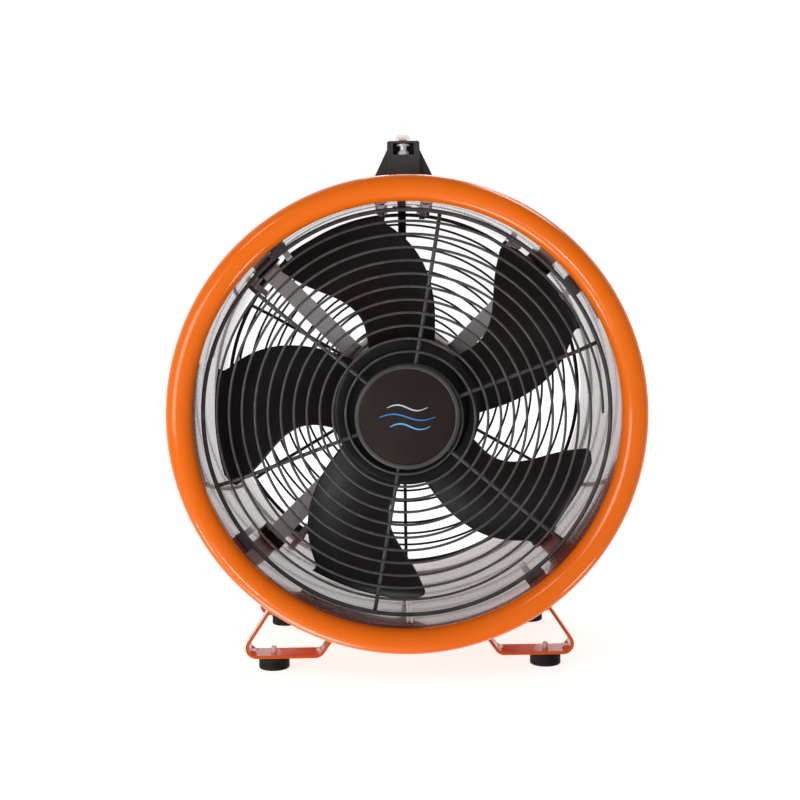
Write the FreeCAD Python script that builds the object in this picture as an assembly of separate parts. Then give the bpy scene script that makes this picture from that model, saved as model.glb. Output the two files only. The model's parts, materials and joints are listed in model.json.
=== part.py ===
"""Portable axial air mover: a steel drum with a fan, a motor, two wire guards, a handle and four feet.

Units are millimetres. +Z is up, the fan axis runs along Y and the intake faces -Y. The origin is on the
floor, in the middle of the feet. Round pieces are drawn in an axle frame, with its own Z along the fan
axis towards the intake, its X to the right and its Y up, and then moved into place by to_axle().
"""
import FreeCAD, Part
import math
import os

V = FreeCAD.Vector
os.makedirs("parts", exist_ok=True)

# ---- driving dimensions -------------------------------------------------
AXIS_Z = 200.0            # height of the fan axis above the floor

SHEET = 2.0               # wall of the drum
DRUM_IN_R = 158.0         # inside of the drum
DRUM_R = DRUM_IN_R + SHEET
RIM_R = 177.5             # largest radius of a rolled rim
RIM_Z = 123.0             # middle of a rolled rim, from the middle of the drum
LIP_LENGTH = 6.0          # straight part of the rim behind its bead
LIP_CURL_R = 5.0          # turned-in edge of the rim
CUT_REACH = 8.0           # how far a hole's cutter reaches past the wall on each side
THROUGH = 40.0            # longer than any hole cut with it
FAR = 200.0               # beyond both ends of the drum
ROUND_IN = 1 - math.sqrt(0.5)   # a rounded corner's middle point, as a part of its radius

WIRE_R = 1.0              # guard spiral wire
SPOKE_R = 1.5             # guard spoke wire
HOOP_WIRE_R = 1.6         # guard outer hoop wire
GUARD_Z = 114.0           # flat face of a guard, from the middle of the drum
SPIRAL_START_R = 36.0
SPIRAL_PITCH = 9.6        # growth in one turn
SPIRAL_HALF_TURNS = 23
DOME_START_R = 119.0      # the guard bends back outside this radius
DOME_R = 50.0             # bend radius of the spiral's dome
WIRE_GAP = 0.1            # between the spiral and the wires behind it
HOOP_ANGLE = 41.5         # where the hoop lies on the dome
SPOKE_COUNT = 6
SPOKE_IN_R = 30.0
SPOKE_END_ANGLE = 44.0
FRONT_SPOKE_TURN = 20.0   # first spoke, anticlockwise from the right
REAR_SPOKE_TURN = 30.0

CAP_R = 39.0              # centre cap of a guard
CAP_DEPTH = 6.5
CAP_RIM = 3.6             # raised ring of the cap
CAP_RECESS = 1.4
CAP_SKIN = 2.4
CAP_BEVEL = 1.8
CAP_LIP = 0.7             # slope on the inside of the raised ring
BADGE_GAP = 0.1
BADGE_DEPTH = 0.9
BACKPLATE_R = 35.0
BACKPLATE_DEPTH = 1.8
CAP_BOSS_R = 4.5
CAP_SCREW_R = 1.9
CAP_SCREW_HEAD_R = 3.8
CAP_SCREW_HEAD = 2.4
CAP_SCREW_REACH = 8.0     # into the cap's boss
SCREW_SLOT_HALF = 0.5
SCREW_SLOT_DEPTH = 0.9

CLIP_COUNT = 4
CLIP_TURN = 37.4          # first guard clip
CLIP_LENGTH = 15.0
CLIP_WIDTH = 3.6
CLIP_SHEET = 1.2
CLIP_GAP = 0.6            # between a clip and the drum
CLIP_EDGE = 10.0          # turned-down edge of a clip
TAB_SHEET = 1.5
TAB_LENGTH = 6.0          # how far a tab reaches in past the hoop
TAB_FOOT_HALF = 5.5
TAB_FOOT_REAR = 20.0      # depths of a tab, behind the hoop
TAB_FOOT_FRONT = 8.6
TAB_SHELF_REAR = 11.0
TAB_TONGUE_FRONT = 3.2
TAB_TONGUE_WIDTH = 5.0

HUB_R = 55.5
HUB_FRONT = 88.0
HUB_REAR = 40.0
HUB_WALL = 3.0
HUB_RING_IN_R = 47.0      # inner edge of the hub's front ring
HUB_STEP = 8.0            # depth of the dish inside the ring
HUB_WEB = 3.5
HUB_ROUND_R = 2.5         # outer edge of the front ring
HUB_RING_LIP = 1.5        # bevel on the inner edge of the front ring
HUB_CORNER = 4.0          # bevel between the wall and the web
HUB_DISH_CORNER = 3.0
BOSS_CORNER = 2.0
BOSS_R = 14.0
BOSS_FRONT = 84.0
BOSS_REAR = 62.0
INSERT_R = 9.0
BLADE_COUNT = 5
BLADE_TURN = -14.0        # leading tip corner of the first blade
BLADE_SKIN = 3.2          # blade thickness along the fan axis
# blade outline: radius, leading edge angle, trailing edge angle, leading depth, trailing depth
BLADE_STATIONS = [
    (53.0, -8.0, -66.0, 82.0, 43.0),
    (64.0, -12.6, -61.7, 81.0, 43.5),
    (80.0, -14.4, -57.2, 79.5, 44.0),
    (96.0, -10.6, -52.8, 77.5, 44.5),
    (112.0, -4.9, -48.0, 75.5, 45.5),
    (128.0, -0.8, -42.0, 73.5, 46.5),
    (140.0, 0.9, -36.4, 72.0, 47.5),
    (146.0, 0.2, -34.2, 71.2, 48.3),
    (149.5, -3.0, -34.6, 69.2, 49.4),
]
BLADE_CAMBER = 5.0        # bow of the blade away from its chord
BLADE_CHORD_STEPS = 8

SHAFT_R = 6.0
SHAFT_TIP_R = 5.0
SHAFT_TIP_START = 62.0
SHAFT_FRONT = 94.0
SHAFT_REAR = -86.0
SHAFT_CHAMFER = 1.0
NUT_WASHER = 1.5
SHAFT_NUT_DEPTH = 6.5
SHAFT_NUT_FLATS = 17.0
HUB_WASHER_R = 11.0

CASING_R = 57.0
CASING_WALL = 3.0
CASING_FRONT = 20.0
CASING_REAR = -76.0
SHIELD_DEPTH = 12.0
SHIELD_STEP = 3.0         # how far the shield's flat lies below its boss
SHIELD_RIM = 9.0          # height and width of the shield's sloping rim
SHIELD_WALL = 6.0
SHIELD_SKIN = 3.0
SHIELD_SEAT_WALL = 4.0
SHIELD_SHAFT_GAP = 1.5
SHIELD_SLOTS = 8
SHIELD_SLOT_HALF = 3.5
SHIELD_SLOT_IN = 12.0     # a slot's inner end, outside the bearing
SHIELD_SLOT_OUT = 14.0    # a slot's outer end, inside the casing
STATOR_SLOTS = 24
STATOR_SLOT_HALF = 1.6
STATOR_SLOT_BACK = 4.0    # winding left over the slots' outer ends
STATOR_FRONT = -8.0
STATOR_REAR = -52.0
STATOR_IN_R = 31.0
ROTOR_R = 30.6
WINDING_OUT_R = 49.0
WINDING_IN_R = 35.0
WINDING_DEPTH = 12.0
WINDING_BEVEL = 3.0
END_RING_OUT_R = 28.0
END_RING_IN_R = 18.0
END_RING_DEPTH = 6.0

BEARING_OUT_R = 16.0
BEARING_DEPTH = 10.0
OUTER_RACE_R = 13.2
INNER_RACE_R = 8.8
BALL_PITCH_R = 11.0
BALL_R = 2.95
GROOVE_R = 3.05
BALL_COUNT = 7
CAGE_IN_R = 10.3
CAGE_OUT_R = 11.7
CAGE_DEPTH = 8.0
POCKET_R = 3.05
FRONT_BEARING = 26.0      # middle of the bearing nearer the fan
REAR_BEARING = -82.0

ARM_SHEET = 2.5           # motor arms, bent from flat bar
ARM_WIDTH = 15.0
ARM_FRONT = 9.0
ARM_FOOT = 28.0
ARM_TURN = 45.0
ARM_BOLT_R = 2.5
ARM_SCREW_FLATS = 8.6
ARM_BOLT_HEAD = 4.0
ARM_BEND_R = 4.0
ARM_SCREW_PLACES = (0.3, 0.75)   # along the inner foot
BOLT_FLATS = 8.0          # hexagons of the drum's and the handle's fasteners
NUT_DEPTH = 4.0
BOLT_END = 2.0            # bolt standing out of its nut
BOLT_DOME_R = 6.5         # domed head outside the drum
BOLT_DOME_SINK = 2.5
BOLT_DOME_GAP = 0.25
BOLT_DOME_TOP = 5.0
MOUNT_PAD = 5.0           # rubber pad between an arm and the drum
MOUNT_PAD_SIDE = 22.0
PAD_CORNER_R = 5.0

CAPACITOR = (38.0, 14.0, 28.0)   # width, depth, height
CAPACITOR_ROUND_R = 2.0
LEAD_R = 3.4
LEAD_Y = 68.0
LEAD_TOP = 386.0
LEAD_INSIDE = 1.0         # lead showing inside the casing
GROMMET_HOLE_R = 6.0
GROMMET_FLANGE_R = 8.0
GROMMET_FLANGE = 1.5

HANDLE_TOP = 403.0
HANDLE_SINK = 6.0         # foot of the handle below the drum's top, before the drum is cut out of it
HANDLE_HALF_LENGTH = 95.0
COLUMN_LENGTH = 35.0
GRIP_WIDTH = 24.0
GRIP_UNDERSIDE = 385.0
GRIP_CORNER_R = 9.0       # between the grip and its columns
GRIP_EDGE_R = 1.6
GUSSET_HALF = 21.5
GUSSET_SHOULDER_Z = 377.5
GUSSET_TOP_Z = 397.0
GUSSET_INSET = 4.0
GUSSET_LENGTH = 14.0
FLANGE_TOP_Z = 366.0
WINDOW_WIDTH = 15.5
WINDOW_LOW_Z = 393.0
WINDOW_TOP_Z = 401.4
WINDOW_DEPTH = 13.0
DUCT_WIDTH = 8.0
DUCT_LOW_Z = 388.5
DUCT_TOP_Z = 397.0
UNDERPLATE_WIDTH = 18.0
UNDERPLATE_HALF_LENGTH = 50.0
UNDERPLATE_SCREW_X = 6.5
UNDERPLATE_SCREW_Y = 40.0
UNDERPLATE_SCREW_R = 1.5
UNDERPLATE_HEAD_R = 2.4
UNDERPLATE_HEAD = 1.0
HANDLE_BOLT_X = 17.0
HANDLE_BOLT_Y = 70.0
HANDLE_BOLT_R = 2.5
HANDLE_BOLT_LENGTH = 18.0
HANDLE_BOLT_HEAD = 3.5
NUT_CORNER_R = 4.7        # keeps the nuts clear of the drum's curve
WINDOW_BOLT_R = 2.6
WINDOW_BOLT_INSET = 6.0
WINDOW_HEAD_R = 4.8
WINDOW_HEAD = 1.3
WINDOW_HEAD_DROP = 1.9    # from the window's top to the underside of the head
WINDOW_WASHER_R = 4.6
WINDOW_WASHER = 0.9
WINDOW_NUT_FLATS = 7.2
WINDOW_NUT = 1.6

SWITCH_Y = -58.0
SWITCH_WIDTH = 10.0
SWITCH_LENGTH = 18.4
SWITCH_BOTTOM_Z = 389.0
BEZEL_WIDTH = 12.0
BEZEL_LENGTH = 20.4
BEZEL_DEPTH = 1.2
ROCKER_WIDTH = 7.0
ROCKER_LENGTH = 13.4
ROCKER_PIVOT_Z = 401.6
ROCKER_PIN_R = 0.9
ROCKER_PIN_FIT = 0.05
ROCKER_SIDE_GAP = 0.3
ROCKER_END_GAP = 1.3
ROCKER_LOW_END = 1.9      # heights above the pin: the pressed end, the middle and the raised end
ROCKER_MIDDLE = 1.0
ROCKER_HIGH_END = 4.2
ROCKER_END_DRAFT = 0.6
ROCKER_SKIRT = 2.0        # depths below the pin: skirt of the raised end, of the pressed end, and the foot
ROCKER_LOW_SKIRT = 2.8
ROCKER_FOOT = 4.2
ROCKER_FOOT_HALF = 3.0
WELL_DEPTH = 9.0
COVER_WIDTH = 11.6
COVER_LENGTH = 20.0
COVER_HEIGHT = 5.8
COVER_SKIN = 0.8
COVER_ROUND_R = 2.2
COVER_INNER_ROUND_R = 1.4

GLAND_Z = 391.0
GLAND_BORE_R = 3.6
GLAND_THREAD_R = 6.0
GLAND_NUT_R = 8.0
GLAND_THREAD_LENGTH = 30.0
GLAND_THREAD_IN = 20.0    # thread inside the column
GLAND_FLATS = 15.0
GLAND_FLANGE = 4.0
GLAND_BACK = 4.0          # start of the gland's hole behind the lead
GLAND_NUT_GROOVES = 12
GLAND_GROOVE_R = 0.6
# clamping nut outline: radius and height, round a thread
GLAND_NUT_SKIRT = 7.0
GLAND_NUT_SHOULDER = 10.0
GLAND_NUT_TOP = 12.5
GLAND_NUT_BEVEL = 1.2
GLAND_NUT_TOP_R = 5.2
GLAND_NUT_MOUTH_R = 4.0
GLAND_NUT_SEAT = 6.4

FOOT_X = 105.6
FOOT_Y = 72.0
FOOT_R = 12.0
FOOT_HEIGHT = 10.0
FOOT_EDGE_R = 1.6
STUD_R = 2.3
STUD_BOTTOM_Z = 4.0
STUD_TOP_Z = 17.6
STRAP_SHEET = 2.5
STRAP_WIDTH = 25.0
STRAP_OUTER_X = 131.6     # corner of the outer bend, before rounding
STRAP_INNER_X = 69.5
STRAP_OUTER_SLOPE = 56.3  # degrees from the floor
STRAP_INNER_SLOPE = 54.0
STRAP_BEND_R = 7.0
STRAP_LEG = 90.0


# ---- helpers ------------------------------------------------------------
def to_axle(shape):
    """Move a shape from the axle frame onto the fan axis."""
    moved = shape.copy()
    moved.rotate(V(0, 0, 0), V(1, 0, 0), 90)
    moved.translate(V(0, 0, AXIS_Z))
    return moved


def turned(shape, degrees):
    """Copy a shape, turned about the fan axis in the axle frame."""
    copy = shape.copy()
    copy.rotate(V(0, 0, 0), V(0, 0, 1), degrees)
    return copy


def facing_rear(shape, extra_turn=0.0):
    """The same piece turned round to the rear end of the drum."""
    copy = shape.copy()
    copy.rotate(V(0, 0, 0), V(0, 1, 0), 180)
    return turned(copy, extra_turn)


def polar(radius, degrees, z=0.0):
    angle = math.radians(degrees)
    return V(radius * math.cos(angle), radius * math.sin(angle), z)


def ring(out_r, in_r, low, high):
    """A plain round tube about the Z axis."""
    outer = Part.makeCylinder(out_r, high - low, V(0, 0, low))
    if in_r <= 0:
        return outer
    return outer.cut(Part.makeCylinder(in_r, high - low, V(0, 0, low)))


def block(x0, x1, y0, y1, z0, z1):
    return Part.makeBox(x1 - x0, y1 - y0, z1 - z0, V(x0, y0, z0))


def revolved(points):
    """Turn a closed (radius, z) outline about the Z axis."""
    corners = [V(r, 0, z) for r, z in points]
    face = Part.Face(Part.makePolygon(corners + [corners[0]]))
    return face.revolve(V(0, 0, 0), V(0, 0, 1), 360)


def hexagon(flats, depth, base, direction):
    """A hexagonal prism whose across-flats size is given."""
    corner_r = flats / math.sqrt(3)
    points = [polar(corner_r, 60 * k) for k in range(7)]
    prism = Part.Face(Part.makePolygon(points)).extrude(V(0, 0, depth))
    prism.Placement = FreeCAD.Placement(base, FreeCAD.Rotation(V(0, 0, 1), direction))
    return prism


def rod(radius, start, end):
    return Part.makeCylinder(radius, (end - start).Length, start, end - start)


def bar_outline(points, radius, sheet):
    """Face of a bent strip in the XZ plane: a centre line with rounded corners and half a sheet each side."""
    left = offset_line(points, radius, sheet / 2)
    right = offset_line(points, radius, -sheet / 2)
    edges = left[0] + [Part.LineSegment(left[2], right[2]).toShape()]
    edges += right[0] + [Part.LineSegment(left[1], right[1]).toShape()]
    return Part.Face(Part.Wire(Part.__sortEdges__(edges)))


def offset_line(points, radius, shift):
    """Edges, first point and last point of a rounded polyline moved sideways by shift."""
    corners = [V(x, 0, z) for x, z in points]
    edges = []
    first = None
    here = None
    for index in range(1, len(corners) - 1):
        incoming = (corners[index] - corners[index - 1]).normalize()
        outgoing = (corners[index + 1] - corners[index]).normalize()
        cross_y = incoming.z * outgoing.x - incoming.x * outgoing.z
        side = 1.0 if cross_y > 0 else -1.0
        in_normal = V(incoming.z, 0, -incoming.x)
        out_normal = V(outgoing.z, 0, -outgoing.x)
        half_turn = math.acos(max(-1.0, min(1.0, incoming.dot(outgoing)))) / 2
        setback = radius * math.tan(half_turn)
        start = corners[index] - incoming * setback
        end = corners[index] + outgoing * setback
        centre = start + in_normal * (side * radius)
        arc_r = radius - side * shift
        middle_normal = (in_normal + out_normal).normalize()
        arc_start = centre - in_normal * (side * arc_r)
        arc_middle = centre - middle_normal * (side * arc_r)
        arc_end = centre - out_normal * (side * arc_r)
        if first is None:
            first = corners[0] + in_normal * shift
            here = first
        edges.append(Part.LineSegment(here, arc_start).toShape())
        edges.append(Part.Arc(arc_start, arc_middle, arc_end).toShape())
        here = arc_end
    last = corners[-1] + out_normal * shift
    edges.append(Part.LineSegment(here, last).toShape())
    return edges, first, last


def save(name, *solids):
    """Write one node, as a single solid or as a group of separate solids."""
    shape = solids[0] if len(solids) == 1 else Part.makeCompound(list(solids))
    shape.exportStep("parts/" + name + ".step")
    volumes = [round(s.Volume, 1) for s in shape.Solids]
    print(name, len(shape.Solids), "valid" if shape.isValid() else "NOT VALID", volumes[:3])


# ---- drum ---------------------------------------------------------------
def drum_wall():
    """Rolled sheet between the two rims, with the holes of what is fixed to it."""
    shell = ring(DRUM_R, DRUM_IN_R, -RIM_Z, RIM_Z)
    for k in range(4):
        shell = shell.cut(wall_hole(DRUM_R, ARM_TURN + 90 * k, arm_outer_depth(), ARM_BOLT_R))
    shell = to_axle(shell)
    low = AXIS_Z + DRUM_IN_R - THROUGH / 2
    for x, y in handle_bolt_places():
        shell = shell.cut(Part.makeCylinder(HANDLE_BOLT_R, THROUGH, V(x, y, low)))
    return shell.cut(Part.makeCylinder(GROMMET_HOLE_R, THROUGH, V(0, LEAD_Y, low)))


def wall_hole(wall_r, degrees, depth, hole_r):
    """Cutter for a hole pointing at the fan axis through a round wall."""
    return rod(hole_r, polar(wall_r - CUT_REACH, degrees, depth), polar(wall_r + CUT_REACH, degrees, depth))


def rolled_rim():
    """Rounded bead on the front end of the wall, a short straight lip behind it and a turned-in edge."""
    bead_r = (RIM_R - DRUM_IN_R) / 2
    bead_centre = DRUM_IN_R + bead_r
    lip_z = RIM_Z - LIP_LENGTH
    edge_z = lip_z - LIP_CURL_R
    curl_r = RIM_R - LIP_CURL_R
    curl_in = LIP_CURL_R - SHEET
    diagonal = math.sqrt(0.5)
    outside_r = curl_r + LIP_CURL_R * diagonal
    inside_r = curl_r + curl_in * diagonal
    pieces = [
        Part.Arc(V(DRUM_IN_R, 0, RIM_Z), V(bead_centre, 0, RIM_Z + bead_r), V(RIM_R, 0, RIM_Z)),
        Part.LineSegment(V(RIM_R, 0, RIM_Z), V(RIM_R, 0, lip_z)),
        Part.Arc(V(RIM_R, 0, lip_z), V(outside_r, 0, lip_z - LIP_CURL_R * diagonal), V(curl_r, 0, edge_z)),
        Part.LineSegment(V(curl_r, 0, edge_z), V(curl_r, 0, edge_z + SHEET)),
        Part.Arc(V(curl_r, 0, edge_z + SHEET), V(inside_r, 0, lip_z - curl_in * diagonal),
                 V(RIM_R - SHEET, 0, lip_z)),
        Part.LineSegment(V(RIM_R - SHEET, 0, lip_z), V(RIM_R - SHEET, 0, RIM_Z)),
        Part.Arc(V(RIM_R - SHEET, 0, RIM_Z), V(bead_centre, 0, RIM_Z + bead_r - SHEET), V(DRUM_R, 0, RIM_Z)),
        Part.LineSegment(V(DRUM_R, 0, RIM_Z), V(DRUM_IN_R, 0, RIM_Z)),
    ]
    face = Part.Face(Part.Wire([piece.toShape() for piece in pieces]))
    return face.revolve(V(0, 0, 0), V(0, 0, 1), 360)


# ---- guards -------------------------------------------------------------
def dome_depth(radius):
    """How far the spiral lies behind the guard's flat face."""
    past = radius - DOME_START_R
    if past <= 0:
        return 0.0
    return DOME_R - math.sqrt(DOME_R ** 2 - past ** 2)


def guard_spiral():
    """Spiral wire from half-circles, each a little wider and deeper, clockwise from the left."""
    pieces = []
    for k in range(SPIRAL_HALF_TURNS):
        near_r = SPIRAL_START_R + k * SPIRAL_PITCH / 2
        far_r = near_r + SPIRAL_PITCH / 2
        drop = dome_depth(far_r) - dome_depth(near_r)
        chord = near_r + far_r
        arc_r = math.hypot(chord, drop) / 2
        half = Part.makeTorus(arc_r, WIRE_R, V(0, 0, 0), V(0, 0, 1), 0, 360, 180)
        half.rotate(V(0, 0, 0), V(0, 1, 0), math.degrees(math.atan2(drop, chord)))
        depth = (dome_depth(near_r) + dome_depth(far_r)) / 2
        half.translate(V((far_r - near_r) / 2, 0, GUARD_Z - depth))
        if k % 2:
            half.rotate(V(0, 0, 0), V(0, 0, 1), 180)
        pieces.append(half)
    wire = pieces[0].multiFuse(pieces[1:])
    return wire.removeSplitter()


def guard_spokes(first_angle):
    """Spokes behind the spiral: straight from under the cap, then bent back along the dome to the hoop."""
    bend_r = DOME_R - WIRE_R - SPOKE_R - WIRE_GAP
    depth = GUARD_Z - WIRE_R - SPOKE_R - WIRE_GAP
    straight = rod(SPOKE_R, V(SPOKE_IN_R, 0, depth), V(DOME_START_R, 0, depth))
    bend = Part.makeTorus(bend_r, SPOKE_R, V(0, 0, 0), V(0, 0, 1), 0, 360, SPOKE_END_ANGLE)
    bend.rotate(V(0, 0, 0), V(0, 0, 1), 90 - SPOKE_END_ANGLE)
    bend.rotate(V(0, 0, 0), V(1, 0, 0), 90)
    bend.translate(V(DOME_START_R, 0, depth - bend_r))
    spoke = straight.fuse(bend)
    return [turned(spoke, first_angle + k * 360.0 / SPOKE_COUNT) for k in range(SPOKE_COUNT)]


def hoop_place():
    """Radius and depth of the outer hoop, resting on the spokes in line with the spiral."""
    reach = DOME_R - WIRE_R - WIRE_GAP + HOOP_WIRE_R + WIRE_GAP
    angle = math.radians(HOOP_ANGLE)
    return DOME_START_R + reach * math.sin(angle), GUARD_Z - DOME_R + reach * math.cos(angle)


def guard_hoop():
    radius, depth = hoop_place()
    return Part.makeTorus(radius, HOOP_WIRE_R, V(0, 0, depth))


def cap_base():
    return GUARD_Z + WIRE_R + WIRE_GAP


def centre_cap():
    """Round cap in front of the spiral's inner end, with a raised ring, a shallow dish and a screw boss."""
    base = cap_base()
    top = base + CAP_DEPTH
    dish_r = CAP_R - CAP_RIM
    dish = top - CAP_RECESS
    inside = dish - CAP_SKIN
    corner = CAP_BEVEL * ROUND_IN
    outline = [
        (0, dish), (dish_r, dish), (dish_r + CAP_LIP, top), (CAP_R - CAP_BEVEL, top),
        (CAP_R - corner, top - corner), (CAP_R, top - CAP_BEVEL), (CAP_R, base), (dish_r, base),
        (dish_r, inside), (CAP_BOSS_R, inside), (CAP_BOSS_R, backplate_top()), (CAP_SCREW_R, backplate_top()),
        (CAP_SCREW_R, inside), (0, inside),
    ]
    return revolved(outline)


def badge():
    """Thin disc lying in the cap's dish."""
    floor = cap_base() + CAP_DEPTH - CAP_RECESS
    return Part.makeCylinder(CAP_R - CAP_RIM - BADGE_GAP, BADGE_DEPTH, V(0, 0, floor))


def backplate_top():
    return GUARD_Z - WIRE_R - 2 * SPOKE_R - 2 * WIRE_GAP


def cap_backplate():
    """Disc behind the spokes that the cap is screwed to."""
    top = backplate_top()
    return ring(BACKPLATE_R, CAP_SCREW_R, top - BACKPLATE_DEPTH, top)


def cap_screw():
    """Pan-head screw through the backplate into the cap's boss."""
    seat = backplate_top() - BACKPLATE_DEPTH
    low = seat - CAP_SCREW_HEAD
    stem = Part.makeCylinder(CAP_SCREW_R, BACKPLATE_DEPTH + CAP_SCREW_REACH, V(0, 0, seat))
    head = Part.makeCylinder(CAP_SCREW_HEAD_R, CAP_SCREW_HEAD, V(0, 0, low))
    slot = block(-CAP_SCREW_HEAD_R, CAP_SCREW_HEAD_R, -SCREW_SLOT_HALF, SCREW_SLOT_HALF,
                 low, low + SCREW_SLOT_DEPTH)
    return stem.fuse(head).cut(slot)


def guard_clip():
    """Small plate lying on the hoop, with a turned-down edge between the hoop and the drum."""
    front = hoop_place()[1] + HOOP_WIRE_R
    out_r = DRUM_IN_R - CLIP_GAP
    half = CLIP_LENGTH / 2
    plate = block(out_r - CLIP_WIDTH - CLIP_SHEET, out_r, -half, half, front, front + CLIP_SHEET)
    edge = block(out_r - CLIP_SHEET, out_r, -half, half, front - CLIP_EDGE, front)
    bound = Part.makeCylinder(DRUM_IN_R, THROUGH, V(0, 0, front - THROUGH / 2))
    return plate.fuse(edge).common(bound)


def clip_tab():
    """Bright bracket on the drum wall, turned in behind the hoop, with a tongue that holds a guard clip."""
    hoop_r, hoop_z = hoop_place()
    rear = hoop_z - HOOP_WIRE_R
    tip_r = hoop_r - HOOP_WIRE_R - TAB_LENGTH
    past_r = DRUM_IN_R + CUT_REACH
    inside = Part.makeCylinder(DRUM_IN_R, THROUGH, V(0, 0, rear - THROUGH))
    hollow = Part.makeCylinder(DRUM_IN_R - TAB_SHEET, THROUGH, V(0, 0, rear - THROUGH))
    tongue_end = TAB_TONGUE_WIDTH - TAB_FOOT_HALF
    foot = block(hoop_r, past_r, -TAB_FOOT_HALF, TAB_FOOT_HALF, rear - TAB_FOOT_REAR, rear - TAB_FOOT_FRONT)
    foot = foot.cut(hollow).common(inside)
    shelf = block(tip_r, past_r, -TAB_FOOT_HALF, tongue_end, rear - TAB_SHELF_REAR,
                  rear - TAB_SHELF_REAR + TAB_SHEET).common(inside)
    tongue = block(tip_r, tip_r + TAB_SHEET, -TAB_FOOT_HALF, tongue_end, rear - TAB_SHELF_REAR,
                   rear - TAB_TONGUE_FRONT)
    return foot.fuse(shelf).fuse(tongue).removeSplitter()


# ---- fan ----------------------------------------------------------------
def blade():
    """Sickle-shaped blade: a cambered sheet between its two edges, thickened along the axis."""
    rows = []
    for radius, lead, trail, lead_z, trail_z in BLADE_STATIONS:
        row = []
        for step in range(BLADE_CHORD_STEPS + 1):
            part = step / BLADE_CHORD_STEPS
            bow = BLADE_CAMBER * 4 * part * (1 - part)
            height = lead_z + (trail_z - lead_z) * part - bow
            row.append(polar(radius, lead + (trail - lead) * part, height))
        rows.append(row)
    surface = Part.BSplineSurface()
    surface.interpolate(rows)
    return surface.toShape().extrude(V(0, 0, -BLADE_SKIN))


def hub():
    """Cup-shaped hub with a rounded front ring, a dished web and a centre boss."""
    corner = HUB_ROUND_R * ROUND_IN
    web_front = HUB_FRONT - HUB_STEP
    web_rear = web_front - HUB_WEB
    inner_r = HUB_R - HUB_WALL
    outline = [
        (HUB_RING_IN_R, HUB_FRONT - HUB_RING_LIP), (HUB_RING_IN_R + HUB_RING_LIP, HUB_FRONT),
        (HUB_R - HUB_ROUND_R, HUB_FRONT), (HUB_R - corner, HUB_FRONT - corner),
        (HUB_R, HUB_FRONT - HUB_ROUND_R), (HUB_R, HUB_REAR), (inner_r, HUB_REAR),
        (inner_r, web_rear - HUB_CORNER), (inner_r - HUB_CORNER, web_rear),
        (BOSS_R + BOSS_CORNER, web_rear), (BOSS_R, web_rear - BOSS_CORNER), (BOSS_R, BOSS_REAR),
        (INSERT_R, BOSS_REAR), (INSERT_R, BOSS_FRONT), (BOSS_R, BOSS_FRONT), (BOSS_R, web_front),
        (HUB_RING_IN_R - HUB_DISH_CORNER, web_front), (HUB_RING_IN_R, web_front + HUB_DISH_CORNER),
    ]
    return revolved(outline)


def impeller():
    """Hub and blades, moulded in one piece."""
    sweep = blade()
    blades = [turned(sweep, BLADE_TURN + k * 360.0 / BLADE_COUNT) for k in range(BLADE_COUNT)]
    return hub().multiFuse(blades)


def hub_insert():
    """Brass bush moulded into the boss."""
    return ring(INSERT_R, SHAFT_TIP_R, BOSS_REAR, BOSS_FRONT)


def shaft():
    """Motor shaft, stepped down where it carries the fan."""
    thick = Part.makeCylinder(SHAFT_R, SHAFT_TIP_START - SHAFT_REAR, V(0, 0, SHAFT_REAR))
    tip_end = SHAFT_FRONT - SHAFT_CHAMFER
    tip = Part.makeCylinder(SHAFT_TIP_R, tip_end - SHAFT_TIP_START, V(0, 0, SHAFT_TIP_START))
    point = Part.makeCone(SHAFT_TIP_R, SHAFT_TIP_R - SHAFT_CHAMFER, SHAFT_CHAMFER, V(0, 0, tip_end))
    return thick.fuse(tip).fuse(point)


def shaft_nut():
    """Flanged hexagon nut that holds the fan on its shaft."""
    washer = Part.makeCylinder(HUB_WASHER_R, NUT_WASHER, V(0, 0, BOSS_FRONT))
    nut = hexagon(SHAFT_NUT_FLATS, SHAFT_NUT_DEPTH, V(0, 0, BOSS_FRONT + NUT_WASHER), V(0, 0, 1))
    hole = Part.makeCylinder(SHAFT_TIP_R, THROUGH, V(0, 0, BOSS_FRONT))
    return washer.fuse(nut).cut(hole)


# ---- motor --------------------------------------------------------------
def motor_casing():
    """Round casing with the motor arms' screw holes and the lead's entry."""
    shell = ring(CASING_R, CASING_R - CASING_WALL, CASING_REAR, CASING_FRONT)
    for k in range(4):
        for z in arm_screw_depths():
            shell = shell.cut(wall_hole(CASING_R, ARM_TURN + 90 * k, z, ARM_BOLT_R))
    return shell.cut(wall_hole(CASING_R, 90, -LEAD_Y, GROMMET_HOLE_R))


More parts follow.
